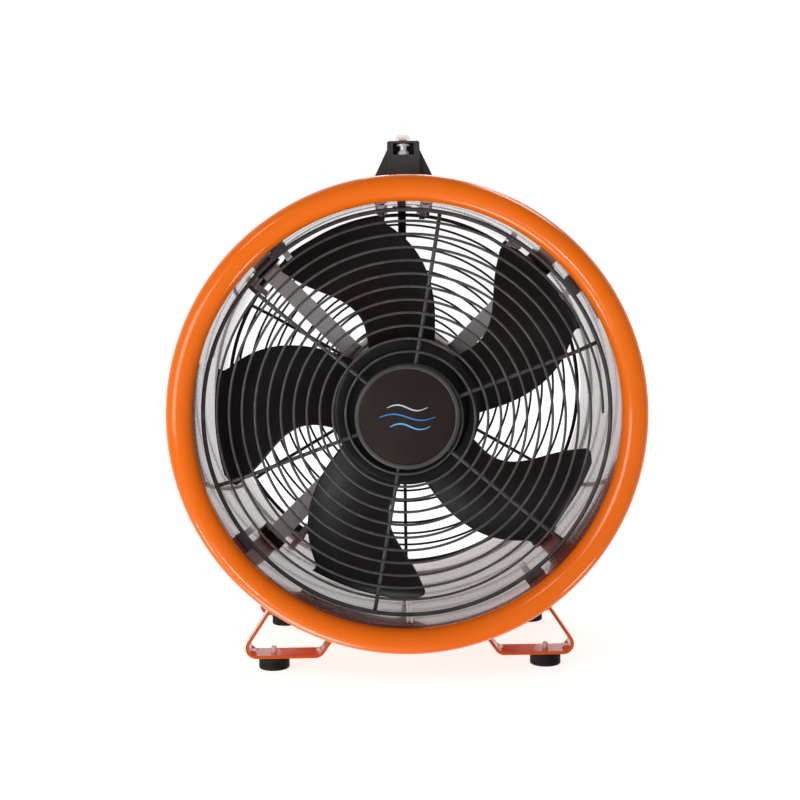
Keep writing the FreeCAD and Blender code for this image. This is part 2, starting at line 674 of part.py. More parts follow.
def end_shield():
    """Dished end of the motor with a bearing seat and air slots, drawn with its joint face at 0."""
    seat_r = BEARING_OUT_R
    boss_r = seat_r + SHIELD_WALL
    flat = SHIELD_DEPTH - SHIELD_STEP
    under = flat - SHIELD_SKIN
    shaft_r = SHAFT_R + SHIELD_SHAFT_GAP
    seat_low = SHIELD_DEPTH - BEARING_DEPTH - 1
    seat_high = SHIELD_DEPTH - 1
    outline = [
        (shaft_r, SHIELD_DEPTH), (boss_r, SHIELD_DEPTH), (boss_r + SHIELD_STEP, flat),
        (CASING_R - SHIELD_RIM, flat), (CASING_R, SHIELD_DEPTH - SHIELD_RIM), (CASING_R, 0),
        (CASING_R - SHIELD_WALL, 0),
        (CASING_R - SHIELD_WALL, SHIELD_DEPTH - SHIELD_RIM), (CASING_R - 2 * SHIELD_WALL, under),
        (seat_r + SHIELD_SEAT_WALL, under), (seat_r + SHIELD_SEAT_WALL, seat_low), (seat_r, seat_low),
        (seat_r, seat_high), (shaft_r, seat_high),
    ]
    shield = revolved(outline)
    slot_out = CASING_R - SHIELD_SLOT_OUT
    for k in range(SHIELD_SLOTS):
        slot = block(seat_r + SHIELD_SLOT_IN, slot_out, -SHIELD_SLOT_HALF, SHIELD_SLOT_HALF, 0, SHIELD_DEPTH)
        shield = shield.cut(turned(slot, (k + 0.5) * 360.0 / SHIELD_SLOTS))
    return shield


def stator_core():
    """Laminated ring, slotted for the windings."""
    core = ring(CASING_R - CASING_WALL, STATOR_IN_R, STATOR_REAR, STATOR_FRONT)
    half = STATOR_SLOT_HALF
    slot_out = WINDING_OUT_R - STATOR_SLOT_BACK
    for k in range(STATOR_SLOTS):
        slot = block(STATOR_IN_R - half, slot_out, -half, half, STATOR_REAR, STATOR_FRONT)
        core = core.cut(turned(slot, k * 360.0 / STATOR_SLOTS))
    return core


def windings():
    """Overhang of the copper winding at each end of the core."""
    return [winding(STATOR_FRONT), winding(STATOR_REAR - WINDING_DEPTH)]


def winding(low):
    """One overhang, with two softened corners."""
    high = low + WINDING_DEPTH
    return revolved([
        (WINDING_IN_R, low), (WINDING_OUT_R, low), (WINDING_OUT_R, high - WINDING_BEVEL),
        (WINDING_OUT_R - WINDING_BEVEL, high), (WINDING_IN_R + WINDING_BEVEL, high),
        (WINDING_IN_R, high - WINDING_BEVEL),
    ])


def rotor_core():
    """Squirrel-cage rotor with its cast end rings."""
    core = ring(ROTOR_R, SHAFT_R, STATOR_REAR, STATOR_FRONT)
    front = ring(END_RING_OUT_R, END_RING_IN_R, STATOR_FRONT, STATOR_FRONT + END_RING_DEPTH)
    rear = ring(END_RING_OUT_R, END_RING_IN_R, STATOR_REAR - END_RING_DEPTH, STATOR_REAR)
    return core.fuse(front).fuse(rear)


def bearing_groove(middle):
    return Part.makeTorus(BALL_PITCH_R, GROOVE_R, V(0, 0, middle))


def bearing_outer(middle):
    half = BEARING_DEPTH / 2
    return ring(BEARING_OUT_R, OUTER_RACE_R, middle - half, middle + half).cut(bearing_groove(middle))


def bearing_inner(middle):
    half = BEARING_DEPTH / 2
    return ring(INNER_RACE_R, SHAFT_R, middle - half, middle + half).cut(bearing_groove(middle))


def bearing_balls(middle):
    """Balls half a step round from the +X axis."""
    step = 360.0 / BALL_COUNT
    return [Part.makeSphere(BALL_R, polar(BALL_PITCH_R, (k + 0.5) * step, middle)) for k in range(BALL_COUNT)]


def bearing_cage(middle):
    """Ring with one round pocket for each ball."""
    cage = ring(CAGE_OUT_R, CAGE_IN_R, middle - CAGE_DEPTH / 2, middle + CAGE_DEPTH / 2)
    for k in range(BALL_COUNT):
        angle = (k + 0.5) * 360.0 / BALL_COUNT
        inside = polar(CAGE_IN_R - BALL_R / 2, angle, middle)
        outside = polar(CAGE_OUT_R + BALL_R / 2, angle, middle)
        cage = cage.cut(rod(POCKET_R, inside, outside))
    return cage


# ---- motor arms ---------------------------------------------------------
def arm_screw_depths():
    return [ARM_FRONT - ARM_SHEET - ARM_FOOT * place for place in ARM_SCREW_PLACES]


def arm_outer_depth():
    return ARM_FRONT - ARM_SHEET - ARM_FOOT / 2


def arm_bolt_seat():
    """Radius of the outer foot's inner face."""
    return DRUM_IN_R - MOUNT_PAD - ARM_SHEET


def motor_arm():
    """Flat bar bent like a channel: one foot on the casing, one foot on the rubber pad at the drum."""
    half = ARM_WIDTH / 2
    rear = ARM_FRONT - ARM_SHEET - ARM_FOOT
    near = CASING_R + ARM_SHEET / 2
    far = arm_bolt_seat() + ARM_SHEET / 2
    middle = ARM_FRONT - ARM_SHEET / 2
    face = bar_outline([(near, rear), (near, middle), (far, middle), (far, rear)], ARM_BEND_R, ARM_SHEET)
    face.translate(V(0, half, 0))
    bar = face.extrude(V(0, -ARM_WIDTH, 0))
    for z in arm_screw_depths():
        bar = bar.cut(wall_hole(CASING_R, 0, z, ARM_BOLT_R))
    return bar.cut(wall_hole(arm_bolt_seat(), 0, arm_outer_depth(), ARM_BOLT_R))


def mount_pad():
    """Rubber pad with rounded corners between an arm and the drum, its back curved to the wall."""
    z = arm_outer_depth()
    half = MOUNT_PAD_SIDE / 2
    pad = block(DRUM_IN_R - MOUNT_PAD, DRUM_R, -half, half, z - half, z + half)
    radial = [edge for edge in pad.Edges if edge.BoundBox.XLength > MOUNT_PAD]
    pad = pad.makeFillet(PAD_CORNER_R, radial)
    pad = pad.common(Part.makeCylinder(DRUM_IN_R, 2 * THROUGH, V(0, 0, z - THROUGH)))
    return pad.cut(wall_hole(DRUM_IN_R, 0, z, ARM_BOLT_R))


def casing_screws():
    """Screws through an arm's inner foot into the casing."""
    screws = []
    seat = CASING_R + ARM_SHEET
    for z in arm_screw_depths():
        stem = rod(ARM_BOLT_R, V(CASING_R - CASING_WALL, 0, z), V(seat, 0, z))
        head = hexagon(ARM_SCREW_FLATS, ARM_BOLT_HEAD, V(seat, 0, z), V(1, 0, 0))
        screws.append(stem.fuse(head))
    return screws


def drum_bolt():
    """Dome-head bolt from outside the drum, through the pad and the arm's outer foot."""
    z = arm_outer_depth()
    inside = arm_bolt_seat() - NUT_DEPTH - BOLT_END
    seat = DRUM_R + BOLT_DOME_GAP
    stem = rod(ARM_BOLT_R, V(inside, 0, z), V(seat + 1, 0, z))
    dome = Part.makeSphere(BOLT_DOME_R, V(DRUM_R - BOLT_DOME_SINK, 0, z))
    outside = block(seat, DRUM_R + BOLT_DOME_TOP, -BOLT_DOME_R, BOLT_DOME_R, z - BOLT_DOME_R, z + BOLT_DOME_R)
    return stem.fuse(dome.common(outside))


def drum_bolt_nut():
    z = arm_outer_depth()
    seat = arm_bolt_seat()
    nut = hexagon(BOLT_FLATS, NUT_DEPTH, V(seat - NUT_DEPTH, 0, z), V(1, 0, 0))
    return nut.cut(wall_hole(seat, 0, z, ARM_BOLT_R))


def all_arms(pieces):
    """The same pieces on each of the four arms."""
    return [to_axle(turned(piece, ARM_TURN + 90 * k)) for k in range(4) for piece in pieces]


# ---- wiring -------------------------------------------------------------
def run_capacitor():
    """Motor capacitor on the rear end shield."""
    width, depth, height = CAPACITOR
    rear_face = -(CASING_REAR - SHIELD_DEPTH)
    box = Part.makeBox(width, depth, height, V(-width / 2, rear_face, AXIS_Z - height / 2))
    upright = [edge for edge in box.Edges if edge.BoundBox.YLength > depth / 2]
    return box.makeFillet(CAPACITOR_ROUND_R, upright)


def motor_lead():
    """Straight lead from inside the casing up into the handle."""
    low = AXIS_Z + CASING_R - CASING_WALL - LEAD_INSIDE
    return Part.makeCylinder(LEAD_R, LEAD_TOP - low, V(0, LEAD_Y, low))


def grommet(wall_out_r, wall_sheet):
    """Rubber ring with a flange on each side of a round wall, shaped to the wall."""
    wall_high = AXIS_Z + wall_out_r
    wall_low = wall_high - wall_sheet
    under = V(0, LEAD_Y, wall_low - THROUGH / 2)
    body = Part.makeCylinder(GROMMET_HOLE_R, wall_sheet, V(0, LEAD_Y, wall_low))
    low = Part.makeCylinder(GROMMET_FLANGE_R, GROMMET_FLANGE, V(0, LEAD_Y, wall_low - GROMMET_FLANGE))
    high = Part.makeCylinder(GROMMET_FLANGE_R, GROMMET_FLANGE, V(0, LEAD_Y, wall_high))
    hole = Part.makeCylinder(LEAD_R, THROUGH, under)
    wall = to_axle(ring(wall_out_r, wall_out_r - wall_sheet, -LEAD_Y - THROUGH / 2, -LEAD_Y + THROUGH / 2))
    wall = wall.cut(Part.makeCylinder(GROMMET_HOLE_R, THROUGH, under))
    return body.fuse(low).fuse(high).cut(hole).cut(wall)


# ---- handle -------------------------------------------------------------
def drum_outside():
    return to_axle(Part.makeCylinder(DRUM_R, 2 * FAR, V(0, 0, -FAR)))


def handle_base():
    return AXIS_Z + DRUM_R - HANDLE_SINK


def handle_bolt_places():
    return [(x, y) for x in (-HANDLE_BOLT_X, HANDLE_BOLT_X) for y in (-HANDLE_BOLT_Y, HANDLE_BOLT_Y)]


def handle_body():
    """Moulded bridge handle: two columns with side gussets, a hollow grip, a window and a switch pocket."""
    half = GRIP_WIDTH / 2
    end = HANDLE_HALF_LENGTH
    inner = end - COLUMN_LENGTH
    base_z = handle_base()
    body = block(-half, half, -end, end, base_z, HANDLE_TOP)
    gap = block(-GRIP_WIDTH, GRIP_WIDTH, -inner, inner, base_z - 1, GRIP_UNDERSIDE)
    across = [edge for edge in gap.Edges if edge.BoundBox.XLength > GRIP_WIDTH]
    corners = [edge for edge in across if edge.BoundBox.ZMin > base_z]
    body = body.cut(gap.makeFillet(GRIP_CORNER_R, corners))
    body = body.makeFillet(GRIP_EDGE_R, long_top_edges(body))
    for sign in (-1, 1):
        body = body.fuse(gusset_block(sign)).fuse(base_flange(sign))
    body = body.removeSplitter()
    for x, y in handle_bolt_places():
        body = body.cut(Part.makeCylinder(HANDLE_BOLT_R, THROUGH, V(x, y, FLANGE_TOP_Z - THROUGH / 2)))
    window_half = WINDOW_WIDTH / 2
    window = block(-window_half, window_half, -end - 1, WINDOW_DEPTH - end, WINDOW_LOW_Z, WINDOW_TOP_Z)
    body = body.cut(window)
    body = body.cut(switch_pocket()).cut(wire_duct()).cut(underplate_slot())
    body = body.cut(gland_hole())
    grommet_room = Part.makeCylinder(GROMMET_FLANGE_R, CUT_REACH + GRIP_EDGE_R, V(0, LEAD_Y, base_z - 1))
    return body.cut(grommet_room).cut(drum_outside()).removeSplitter()


def long_top_edges(body):
    """The two long edges along the top of the grip."""
    return [edge for edge in body.Edges
            if edge.BoundBox.ZMin > HANDLE_TOP - 0.01 and edge.BoundBox.YLength > HANDLE_HALF_LENGTH]


def gusset_block(sign):
    """Side plates of one column: upright at the foot, then sloping in to the grip."""
    half = GRIP_WIDTH / 2
    base_z = handle_base()
    near = sign * (HANDLE_HALF_LENGTH - GUSSET_INSET)
    outline = [(-GUSSET_HALF, base_z), (-GUSSET_HALF, GUSSET_SHOULDER_Z), (-half, GUSSET_TOP_Z),
               (half, GUSSET_TOP_Z), (GUSSET_HALF, GUSSET_SHOULDER_Z), (GUSSET_HALF, base_z)]
    corners = [V(x, near, z) for x, z in outline]
    face = Part.Face(Part.makePolygon(corners + [corners[0]]))
    return face.extrude(V(0, -sign * GUSSET_LENGTH, 0))


def base_flange(sign):
    near = HANDLE_HALF_LENGTH - GUSSET_INSET
    far = HANDLE_HALF_LENGTH - COLUMN_LENGTH
    low, high = sorted((sign * near, sign * far))
    return block(-GUSSET_HALF, GUSSET_HALF, low, high, handle_base(), FLANGE_TOP_Z)


def wire_duct():
    """Channel inside the grip, from the switch to the rear column and down to the drum."""
    half = DUCT_WIDTH / 2
    near = LEAD_Y - GROMMET_HOLE_R
    far = LEAD_Y + GROMMET_HOLE_R
    along = block(-half, half, SWITCH_Y, far, DUCT_LOW_Z, DUCT_TOP_Z)
    down = block(-half, half, near, far, handle_base() - 1, DUCT_TOP_Z)
    return along.fuse(down)


def underplate_slot():
    half = UNDERPLATE_WIDTH / 2
    end = UNDERPLATE_HALF_LENGTH
    return block(-half, half, -end, end, GRIP_UNDERSIDE, DUCT_LOW_Z)


def underplate_screw_stems():
    depth = DUCT_LOW_Z - GRIP_UNDERSIDE
    return [Part.makeCylinder(UNDERPLATE_SCREW_R, depth, V(UNDERPLATE_SCREW_X, y, GRIP_UNDERSIDE))
            for y in (-UNDERPLATE_SCREW_Y, UNDERPLATE_SCREW_Y)]


def underplate():
    """Cover under the grip that closes the wire duct."""
    plate = underplate_slot()
    for stem in underplate_screw_stems():
        plate = plate.cut(stem)
    return plate


def underplate_screws():
    """Two small screws, each head a little proud of the cover's lower face."""
    screws = []
    for stem in underplate_screw_stems():
        middle = stem.BoundBox.Center
        low = V(middle.x, middle.y, GRIP_UNDERSIDE - UNDERPLATE_HEAD)
        screws.append(stem.fuse(Part.makeCylinder(UNDERPLATE_HEAD_R, UNDERPLATE_HEAD, low)))
    return screws


def gland_hole():
    return Part.makeCylinder(GLAND_THREAD_R, COLUMN_LENGTH, V(0, LEAD_Y + GLAND_BACK, GLAND_Z), V(0, 1, 0))


def cable_gland():
    """Threaded body in the rear column, with a flange and an open bore for a supply lead."""
    wall = HANDLE_HALF_LENGTH
    along = V(0, 1, 0)
    inner = V(0, wall - GLAND_THREAD_IN, GLAND_Z)
    body = Part.makeCylinder(GLAND_THREAD_R, GLAND_THREAD_LENGTH, inner, along)
    flange = hexagon(GLAND_FLATS, GLAND_FLANGE, V(0, wall, GLAND_Z), along)
    bore = Part.makeCylinder(GLAND_BORE_R, THROUGH, V(0, wall - THROUGH / 2 - 1, GLAND_Z), along)
    return body.fuse(flange).cut(bore)


def gland_nut():
    """Domed clamping nut on the outside of the gland."""
    outline = [
        (GLAND_THREAD_R, 0), (GLAND_NUT_R, 0), (GLAND_NUT_R, GLAND_NUT_SKIRT),
        (GLAND_NUT_R - GLAND_NUT_BEVEL, GLAND_NUT_SHOULDER), (GLAND_NUT_TOP_R, GLAND_NUT_TOP),
        (GLAND_NUT_MOUTH_R, GLAND_NUT_TOP), (GLAND_NUT_MOUTH_R, GLAND_NUT_SEAT),
        (GLAND_THREAD_R, GLAND_NUT_SEAT),
    ]
    nut = revolved(outline)
    for k in range(GLAND_NUT_GROOVES):
        start = polar(GLAND_NUT_R + GLAND_GROOVE_R / 3, k * 360.0 / GLAND_NUT_GROOVES, -1)
        nut = nut.cut(Part.makeCylinder(GLAND_GROOVE_R, GLAND_NUT_SKIRT + 1, start))
    nut.rotate(V(0, 0, 0), V(1, 0, 0), -90)
    nut.translate(V(0, HANDLE_HALF_LENGTH + GLAND_FLANGE, GLAND_Z))
    return nut


def handle_bolt(x, y):
    """Bolt from the handle's foot through the drum."""
    stem = Part.makeCylinder(HANDLE_BOLT_R, HANDLE_BOLT_LENGTH, V(x, y, FLANGE_TOP_Z - HANDLE_BOLT_LENGTH))
    head = hexagon(BOLT_FLATS, HANDLE_BOLT_HEAD, V(x, y, FLANGE_TOP_Z), V(0, 0, 1))
    return stem.fuse(head)


def handle_nut(x, y):
    """Nut inside the drum, below the bolt hole."""
    top = AXIS_Z + math.sqrt(DRUM_IN_R ** 2 - (HANDLE_BOLT_X + NUT_CORNER_R) ** 2)
    nut = hexagon(BOLT_FLATS, NUT_DEPTH, V(x, y, top - NUT_DEPTH), V(0, 0, 1))
    return nut.cut(Part.makeCylinder(HANDLE_BOLT_R, THROUGH, V(x, y, top - THROUGH / 2)))


def window_bolt():
    """Bright bolt standing in the front window, with a round head and a nut below."""
    y = WINDOW_BOLT_INSET - HANDLE_HALF_LENGTH
    stem = Part.makeCylinder(WINDOW_BOLT_R, WINDOW_TOP_Z - WINDOW_LOW_Z, V(0, y, WINDOW_LOW_Z))
    head = Part.makeCylinder(WINDOW_HEAD_R, WINDOW_HEAD, V(0, y, WINDOW_TOP_Z - WINDOW_HEAD_DROP))
    washer = Part.makeCylinder(WINDOW_WASHER_R, WINDOW_WASHER, V(0, y, WINDOW_LOW_Z))
    nut = hexagon(WINDOW_NUT_FLATS, WINDOW_NUT, V(0, y, WINDOW_LOW_Z + WINDOW_WASHER), V(0, 0, 1))
    return stem.fuse(head).fuse(washer).fuse(nut)


# ---- switch -------------------------------------------------------------
def switch_box(width, length, low, high):
    """Block centred on the switch."""
    return block(-width / 2, width / 2, SWITCH_Y - length / 2, SWITCH_Y + length / 2, low, high)


def pivot_pin(radius, half_length):
    return rod(radius, V(-half_length, SWITCH_Y, ROCKER_PIVOT_Z), V(half_length, SWITCH_Y, ROCKER_PIVOT_Z))


def switch_pocket():
    return switch_box(SWITCH_WIDTH, SWITCH_LENGTH, SWITCH_BOTTOM_Z, HANDLE_TOP + 1)


def switch_body():
    """Housing of the on-off switch, sunk in the grip, with a bezel and an open well for the rocker."""
    box = switch_box(SWITCH_WIDTH, SWITCH_LENGTH, SWITCH_BOTTOM_Z, HANDLE_TOP)
    bezel = switch_box(BEZEL_WIDTH, BEZEL_LENGTH, HANDLE_TOP, HANDLE_TOP + BEZEL_DEPTH)
    well_width = ROCKER_WIDTH + 2 * ROCKER_SIDE_GAP
    well_length = ROCKER_LENGTH + 2 * ROCKER_END_GAP
    well = switch_box(well_width, well_length, HANDLE_TOP - WELL_DEPTH, HANDLE_TOP + WELL_DEPTH)
    pin = pivot_pin(ROCKER_PIN_R, well_width / 2 + 1)
    return box.fuse(bezel).cut(well).fuse(pin).removeSplitter()


def switch_rocker():
    """Rocker on its pivot pin: a shallow V on top, at rest with its front half pressed."""
    half_w = ROCKER_WIDTH / 2
    half_l = ROCKER_LENGTH / 2
    outline = [
        (-half_l, ROCKER_LOW_END), (0, ROCKER_MIDDLE), (half_l, ROCKER_HIGH_END),
        (half_l - ROCKER_END_DRAFT, -ROCKER_SKIRT), (ROCKER_FOOT_HALF, -ROCKER_FOOT),
        (-ROCKER_FOOT_HALF, -ROCKER_FOOT), (ROCKER_END_DRAFT - half_l, -ROCKER_LOW_SKIRT),
    ]
    corners = [V(-half_w, SWITCH_Y + y, ROCKER_PIVOT_Z + z) for y, z in outline]
    solid = Part.Face(Part.makePolygon(corners + [corners[0]])).extrude(V(ROCKER_WIDTH, 0, 0))
    return solid.cut(pivot_pin(ROCKER_PIN_R + ROCKER_PIN_FIT, ROCKER_WIDTH))


def switch_cover():
    """Thin see-through splash cover over the rocker, clipped on the bezel."""
    low = HANDLE_TOP + BEZEL_DEPTH
    inside = HANDLE_TOP + COVER_HEIGHT
    outer = cover_block(COVER_WIDTH, COVER_LENGTH, low, inside + COVER_SKIN, COVER_ROUND_R)
    inner = cover_block(COVER_WIDTH - 2 * COVER_SKIN, COVER_LENGTH - 2 * COVER_SKIN, low - 1, inside,
                        COVER_INNER_ROUND_R)
    return outer.cut(inner)


def cover_block(width, length, low, high, round_r):
    box = switch_box(width, length, low, high)
    edges = [edge for edge in box.Edges if edge.BoundBox.ZMax > (low + high) / 2]
    return box.makeFillet(round_r, edges)


# ---- feet ---------------------------------------------------------------
def foot_strap(side, end):
    """Bent strap under the drum: an inner leg, a flat for the foot and an outer leg, cut to the drum."""
    middle = FOOT_HEIGHT + STRAP_SHEET / 2
    outer = math.radians(STRAP_OUTER_SLOPE)
    inner = math.radians(STRAP_INNER_SLOPE)
    points = [
        (STRAP_INNER_X - STRAP_LEG * math.cos(inner), middle + STRAP_LEG * math.sin(inner)),
        (STRAP_INNER_X, middle), (STRAP_OUTER_X, middle),
        (STRAP_OUTER_X - STRAP_LEG * math.cos(outer), middle + STRAP_LEG * math.sin(outer)),
    ]
    face = bar_outline(points, STRAP_BEND_R, STRAP_SHEET)
    strap = face.extrude(V(0, STRAP_WIDTH, 0))
    strap.translate(V(0, -STRAP_WIDTH / 2, 0))
    strap = strap.cut(drum_outside())
    strap = max(strap.Solids, key=lambda solid: solid.Volume)
    strap = strap.cut(Part.makeCylinder(STUD_R, THROUGH, V(FOOT_X, 0, 0)))
    if side < 0:
        strap = strap.mirror(V(0, 0, 0), V(1, 0, 0))
    strap.translate(V(0, end * FOOT_Y, 0))
    return strap


def rubber_foot(side, end):
    """Round rubber foot with a softened lower edge."""
    foot = Part.makeCylinder(FOOT_R, FOOT_HEIGHT, V(side * FOOT_X, end * FOOT_Y, 0))
    foot = foot.makeFillet(FOOT_EDGE_R, [edge for edge in foot.Edges if edge.BoundBox.ZMax < FOOT_EDGE_R])
    hole = Part.makeCylinder(STUD_R, FOOT_HEIGHT, V(side * FOOT_X, end * FOOT_Y, STUD_BOTTOM_Z))
    return foot.cut(hole)


def foot_stud(side, end):
    """Round-ended stud from the foot up through the strap."""
    x = side * FOOT_X
    y = end * FOOT_Y
    tip_z = STUD_TOP_Z - STUD_R
    stem = Part.makeCylinder(STUD_R, tip_z - STUD_BOTTOM_Z, V(x, y, STUD_BOTTOM_Z))
    tip = Part.makeSphere(STUD_R, V(x, y, tip_z))
    return stem.fuse(tip)


# ---- nodes --------------------------------------------------------------
save("drum_wall", drum_wall())
save("front_rim", to_axle(rolled_rim()))
save("rear_rim", to_axle(facing_rear(rolled_rim())))

rear_turn = REAR_SPOKE_TURN - (180 - FRONT_SPOKE_TURN) % 60
save("front_guard_spiral", to_axle(guard_spiral()))
save("front_guard_spokes", *[to_axle(s) for s in guard_spokes(FRONT_SPOKE_TURN)])
save("front_guard_hoop", to_axle(guard_hoop()))
save("rear_guard_spiral", to_axle(facing_rear(guard_spiral(), rear_turn)))
save("rear_guard_spokes", *[to_axle(facing_rear(s, rear_turn)) for s in guard_spokes(FRONT_SPOKE_TURN)])
save("rear_guard_hoop", to_axle(facing_rear(guard_hoop())))

save("front_cap", to_axle(centre_cap()))
save("front_cap_badge", to_axle(badge()))
save("rear_cap", to_axle(facing_rear(centre_cap())))
save("cap_backplates", to_axle(cap_backplate()), to_axle(facing_rear(cap_backplate())))
save("cap_screws", to_axle(cap_screw()), to_axle(facing_rear(cap_screw())))

clip_angles = [CLIP_TURN + k * 360.0 / CLIP_COUNT for k in range(CLIP_COUNT)]
clips = [turned(guard_clip(), angle) for angle in clip_angles]
tabs = [turned(clip_tab(), angle) for angle in clip_angles]
save("guard_clips", *[to_axle(c) for c in clips + [facing_rear(c) for c in clips]])
save("clip_tabs", *[to_axle(t) for t in tabs + [facing_rear(t) for t in tabs]])

save("impeller", to_axle(impeller()))
save("hub_insert", to_axle(hub_insert()))
save("motor_shaft", to_axle(shaft()))
save("shaft_nut", to_axle(shaft_nut()))
save("rotor_core", to_axle(rotor_core()))
save("bearing_inner_rings", to_axle(bearing_inner(FRONT_BEARING)), to_axle(bearing_inner(REAR_BEARING)))
balls = bearing_balls(FRONT_BEARING) + bearing_balls(REAR_BEARING)
save("bearing_balls", *[to_axle(ball) for ball in balls])
save("bearing_cages", to_axle(bearing_cage(FRONT_BEARING)), to_axle(bearing_cage(REAR_BEARING)))
save("bearing_outer_rings", to_axle(bearing_outer(FRONT_BEARING)), to_axle(bearing_outer(REAR_BEARING)))

front_shield = end_shield()
front_shield.translate(V(0, 0, CASING_FRONT))
rear_shield = facing_rear(end_shield())
rear_shield.translate(V(0, 0, CASING_REAR))
save("motor_casing", to_axle(motor_casing()))
save("motor_front_shield", to_axle(front_shield))
save("motor_rear_shield", to_axle(rear_shield))
save("stator_core", to_axle(stator_core()))
save("stator_windings", *[to_axle(w) for w in windings()])

arm_names = ["upper_right", "upper_left", "lower_left", "lower_right"]
for arm_name, arm in zip(arm_names, all_arms([motor_arm()])):
    save("motor_arm_" + arm_name, arm)
save("arm_mount_pads", *all_arms([mount_pad()]))
save("casing_screws", *all_arms(casing_screws()))
save("drum_bolts", *all_arms([drum_bolt()]))
save("hexagon_nuts", *all_arms([drum_bolt_nut()]), *[handle_nut(x, y) for x, y in handle_bolt_places()])

save("run_capacitor", run_capacitor())
save("motor_lead", motor_lead())
save("lead_grommets", grommet(CASING_R, CASING_WALL), grommet(DRUM_R, SHEET))

save("handle_body", handle_body())
save("grip_underplate", underplate())
save("underplate_screws", *underplate_screws())
save("handle_bolts", *[handle_bolt(x, y) for x, y in handle_bolt_places()])
save("window_bolt", window_bolt())
save("cable_gland", cable_gland())
save("gland_nut", gland_nut())

save("switch_body", switch_body())
save("switch_rocker", switch_rocker())
save("switch_cover", switch_cover())

studs = []
for end_name, end in (("front", -1), ("rear", 1)):
    for side_name, side in (("left", -1), ("right", 1)):
        save("foot_strap_" + end_name + "_" + side_name, foot_strap(side, end))
        save("rubber_foot_" + end_name + "_" + side_name, rubber_foot(side, end))
        studs.append(foot_stud(side, end))
save("foot_studs", *studs)
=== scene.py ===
import json
import math

import bmesh
import bpy
import numpy as np
from mathutils import Euler, Matrix, Vector

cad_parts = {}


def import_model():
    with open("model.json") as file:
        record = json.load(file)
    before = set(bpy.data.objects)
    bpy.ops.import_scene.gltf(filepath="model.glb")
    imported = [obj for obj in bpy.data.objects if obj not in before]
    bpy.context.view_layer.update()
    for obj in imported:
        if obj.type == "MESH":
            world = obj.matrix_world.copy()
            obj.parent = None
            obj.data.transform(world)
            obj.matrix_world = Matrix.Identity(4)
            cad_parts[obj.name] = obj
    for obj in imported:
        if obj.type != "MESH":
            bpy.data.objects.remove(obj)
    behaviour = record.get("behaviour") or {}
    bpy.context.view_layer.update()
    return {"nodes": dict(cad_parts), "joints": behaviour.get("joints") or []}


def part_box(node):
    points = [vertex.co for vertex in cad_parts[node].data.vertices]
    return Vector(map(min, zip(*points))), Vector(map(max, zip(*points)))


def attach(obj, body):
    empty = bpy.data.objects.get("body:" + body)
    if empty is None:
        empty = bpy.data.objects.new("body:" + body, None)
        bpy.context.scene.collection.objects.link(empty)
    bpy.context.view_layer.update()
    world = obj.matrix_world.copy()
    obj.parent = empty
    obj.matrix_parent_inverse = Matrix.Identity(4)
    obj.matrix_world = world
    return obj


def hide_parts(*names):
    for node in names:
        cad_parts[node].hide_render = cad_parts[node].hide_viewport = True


# ---- the frame ----------------------------------------------------------
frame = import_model()
MM = 0.001
ON_AXIS = 1e-7      # a radius below this is a point on the axis

joints = {joint["name"]: joint for joint in frame["joints"]}
AXIS = Vector(joints["fan_spin"]["pos_m"])
rim_low, rim_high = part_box("front_rim")
hoop_low, hoop_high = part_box("front_guard_hoop")
cap_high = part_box("front_cap")[1]
badge_low, badge_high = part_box("front_cap_badge")
fan_low, fan_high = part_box("impeller")

RIM_R = rim_high.x
DRUM_HALF = -rim_low.y
SHEET = 2 * MM
BEAD_R = 9.75 * MM
DRUM_IN_R = RIM_R - 2 * BEAD_R
RIM_Y = DRUM_HALF - BEAD_R
WIRE_R = 1.0 * MM
SPOKE_R = 1.5 * MM
HOOP_WIRE_R = (hoop_high.y - hoop_low.y) / 2
CAP_R = cap_high.x


# ---- mesh building ------------------------------------------------------
class Shape:
    """Vertices and faces gathered before they become one Blender mesh."""

    def __init__(self):
        self.points = []
        self.faces = []

    def add(self, points, faces):
        base = len(self.points)
        self.points.extend(tuple(p) for p in points)
        self.faces.extend(tuple(base + i for i in face) for face in faces)

    def make(self, name, material, sharp=35.0):
        mesh = bpy.data.meshes.new(name)
        mesh.from_pydata(self.points, [], self.faces)
        work = bmesh.new()
        work.from_mesh(mesh)
        bmesh.ops.recalc_face_normals(work, faces=work.faces)
        work.to_mesh(mesh)
        work.free()
        mesh.shade_smooth()
        mesh.set_sharp_from_angle(angle=math.radians(sharp))
        mesh.materials.append(material)
        piece = bpy.data.objects.new(name, mesh)
        bpy.context.scene.collection.objects.link(piece)
        return piece


def around_axis(radius, y, angle):
    """A point at a radius and an angle round the fan axis.

    Angles run anticlockwise from the right as seen from the intake."""
    return (AXIS.x + radius * math.cos(angle), y, AXIS.z + radius * math.sin(angle))


def distinct(corners):
    """The corners in order, without repeats."""
    return list(dict.fromkeys(corners))


def revolve(shape, outline, segments, spot, closed):
    """Turn an outline of (radius, place along the axis).

    spot gives the point at a radius, a place and an angle."""
    rings = []
    points = []
    for radius, along in outline:
        if radius < ON_AXIS:
            rings.append([len(points)] * segments)
            points.append(spot(0, along, 0))
        else:
            rings.append([len(points) + k for k in range(segments)])
            points.extend(spot(radius, along, 2 * math.pi * k / segments) for k in range(segments))
    faces = []
    count = len(rings)
    for index in range(count if closed else count - 1):
        here, there = rings[index], rings[(index + 1) % count]
        for k in range(segments):
            n = (k + 1) % segments
            corners = distinct((here[k], here[n], there[n], there[k]))
            if len(corners) > 2:
                faces.append(corners)
    shape.add(points, faces)


def lathe(shape, outline, segments, closed=True):
    """Turn an outline of (radius, y) about the fan axis. An open outline starts and ends on the axis."""
    revolve(shape, outline, segments, around_axis, closed)


def rounding(start, end, count):
    """Angles in radians from start to end degrees in count equal steps, both ends included."""
    return [math.radians(start + (end - start) * k / count) for k in range(count + 1)]


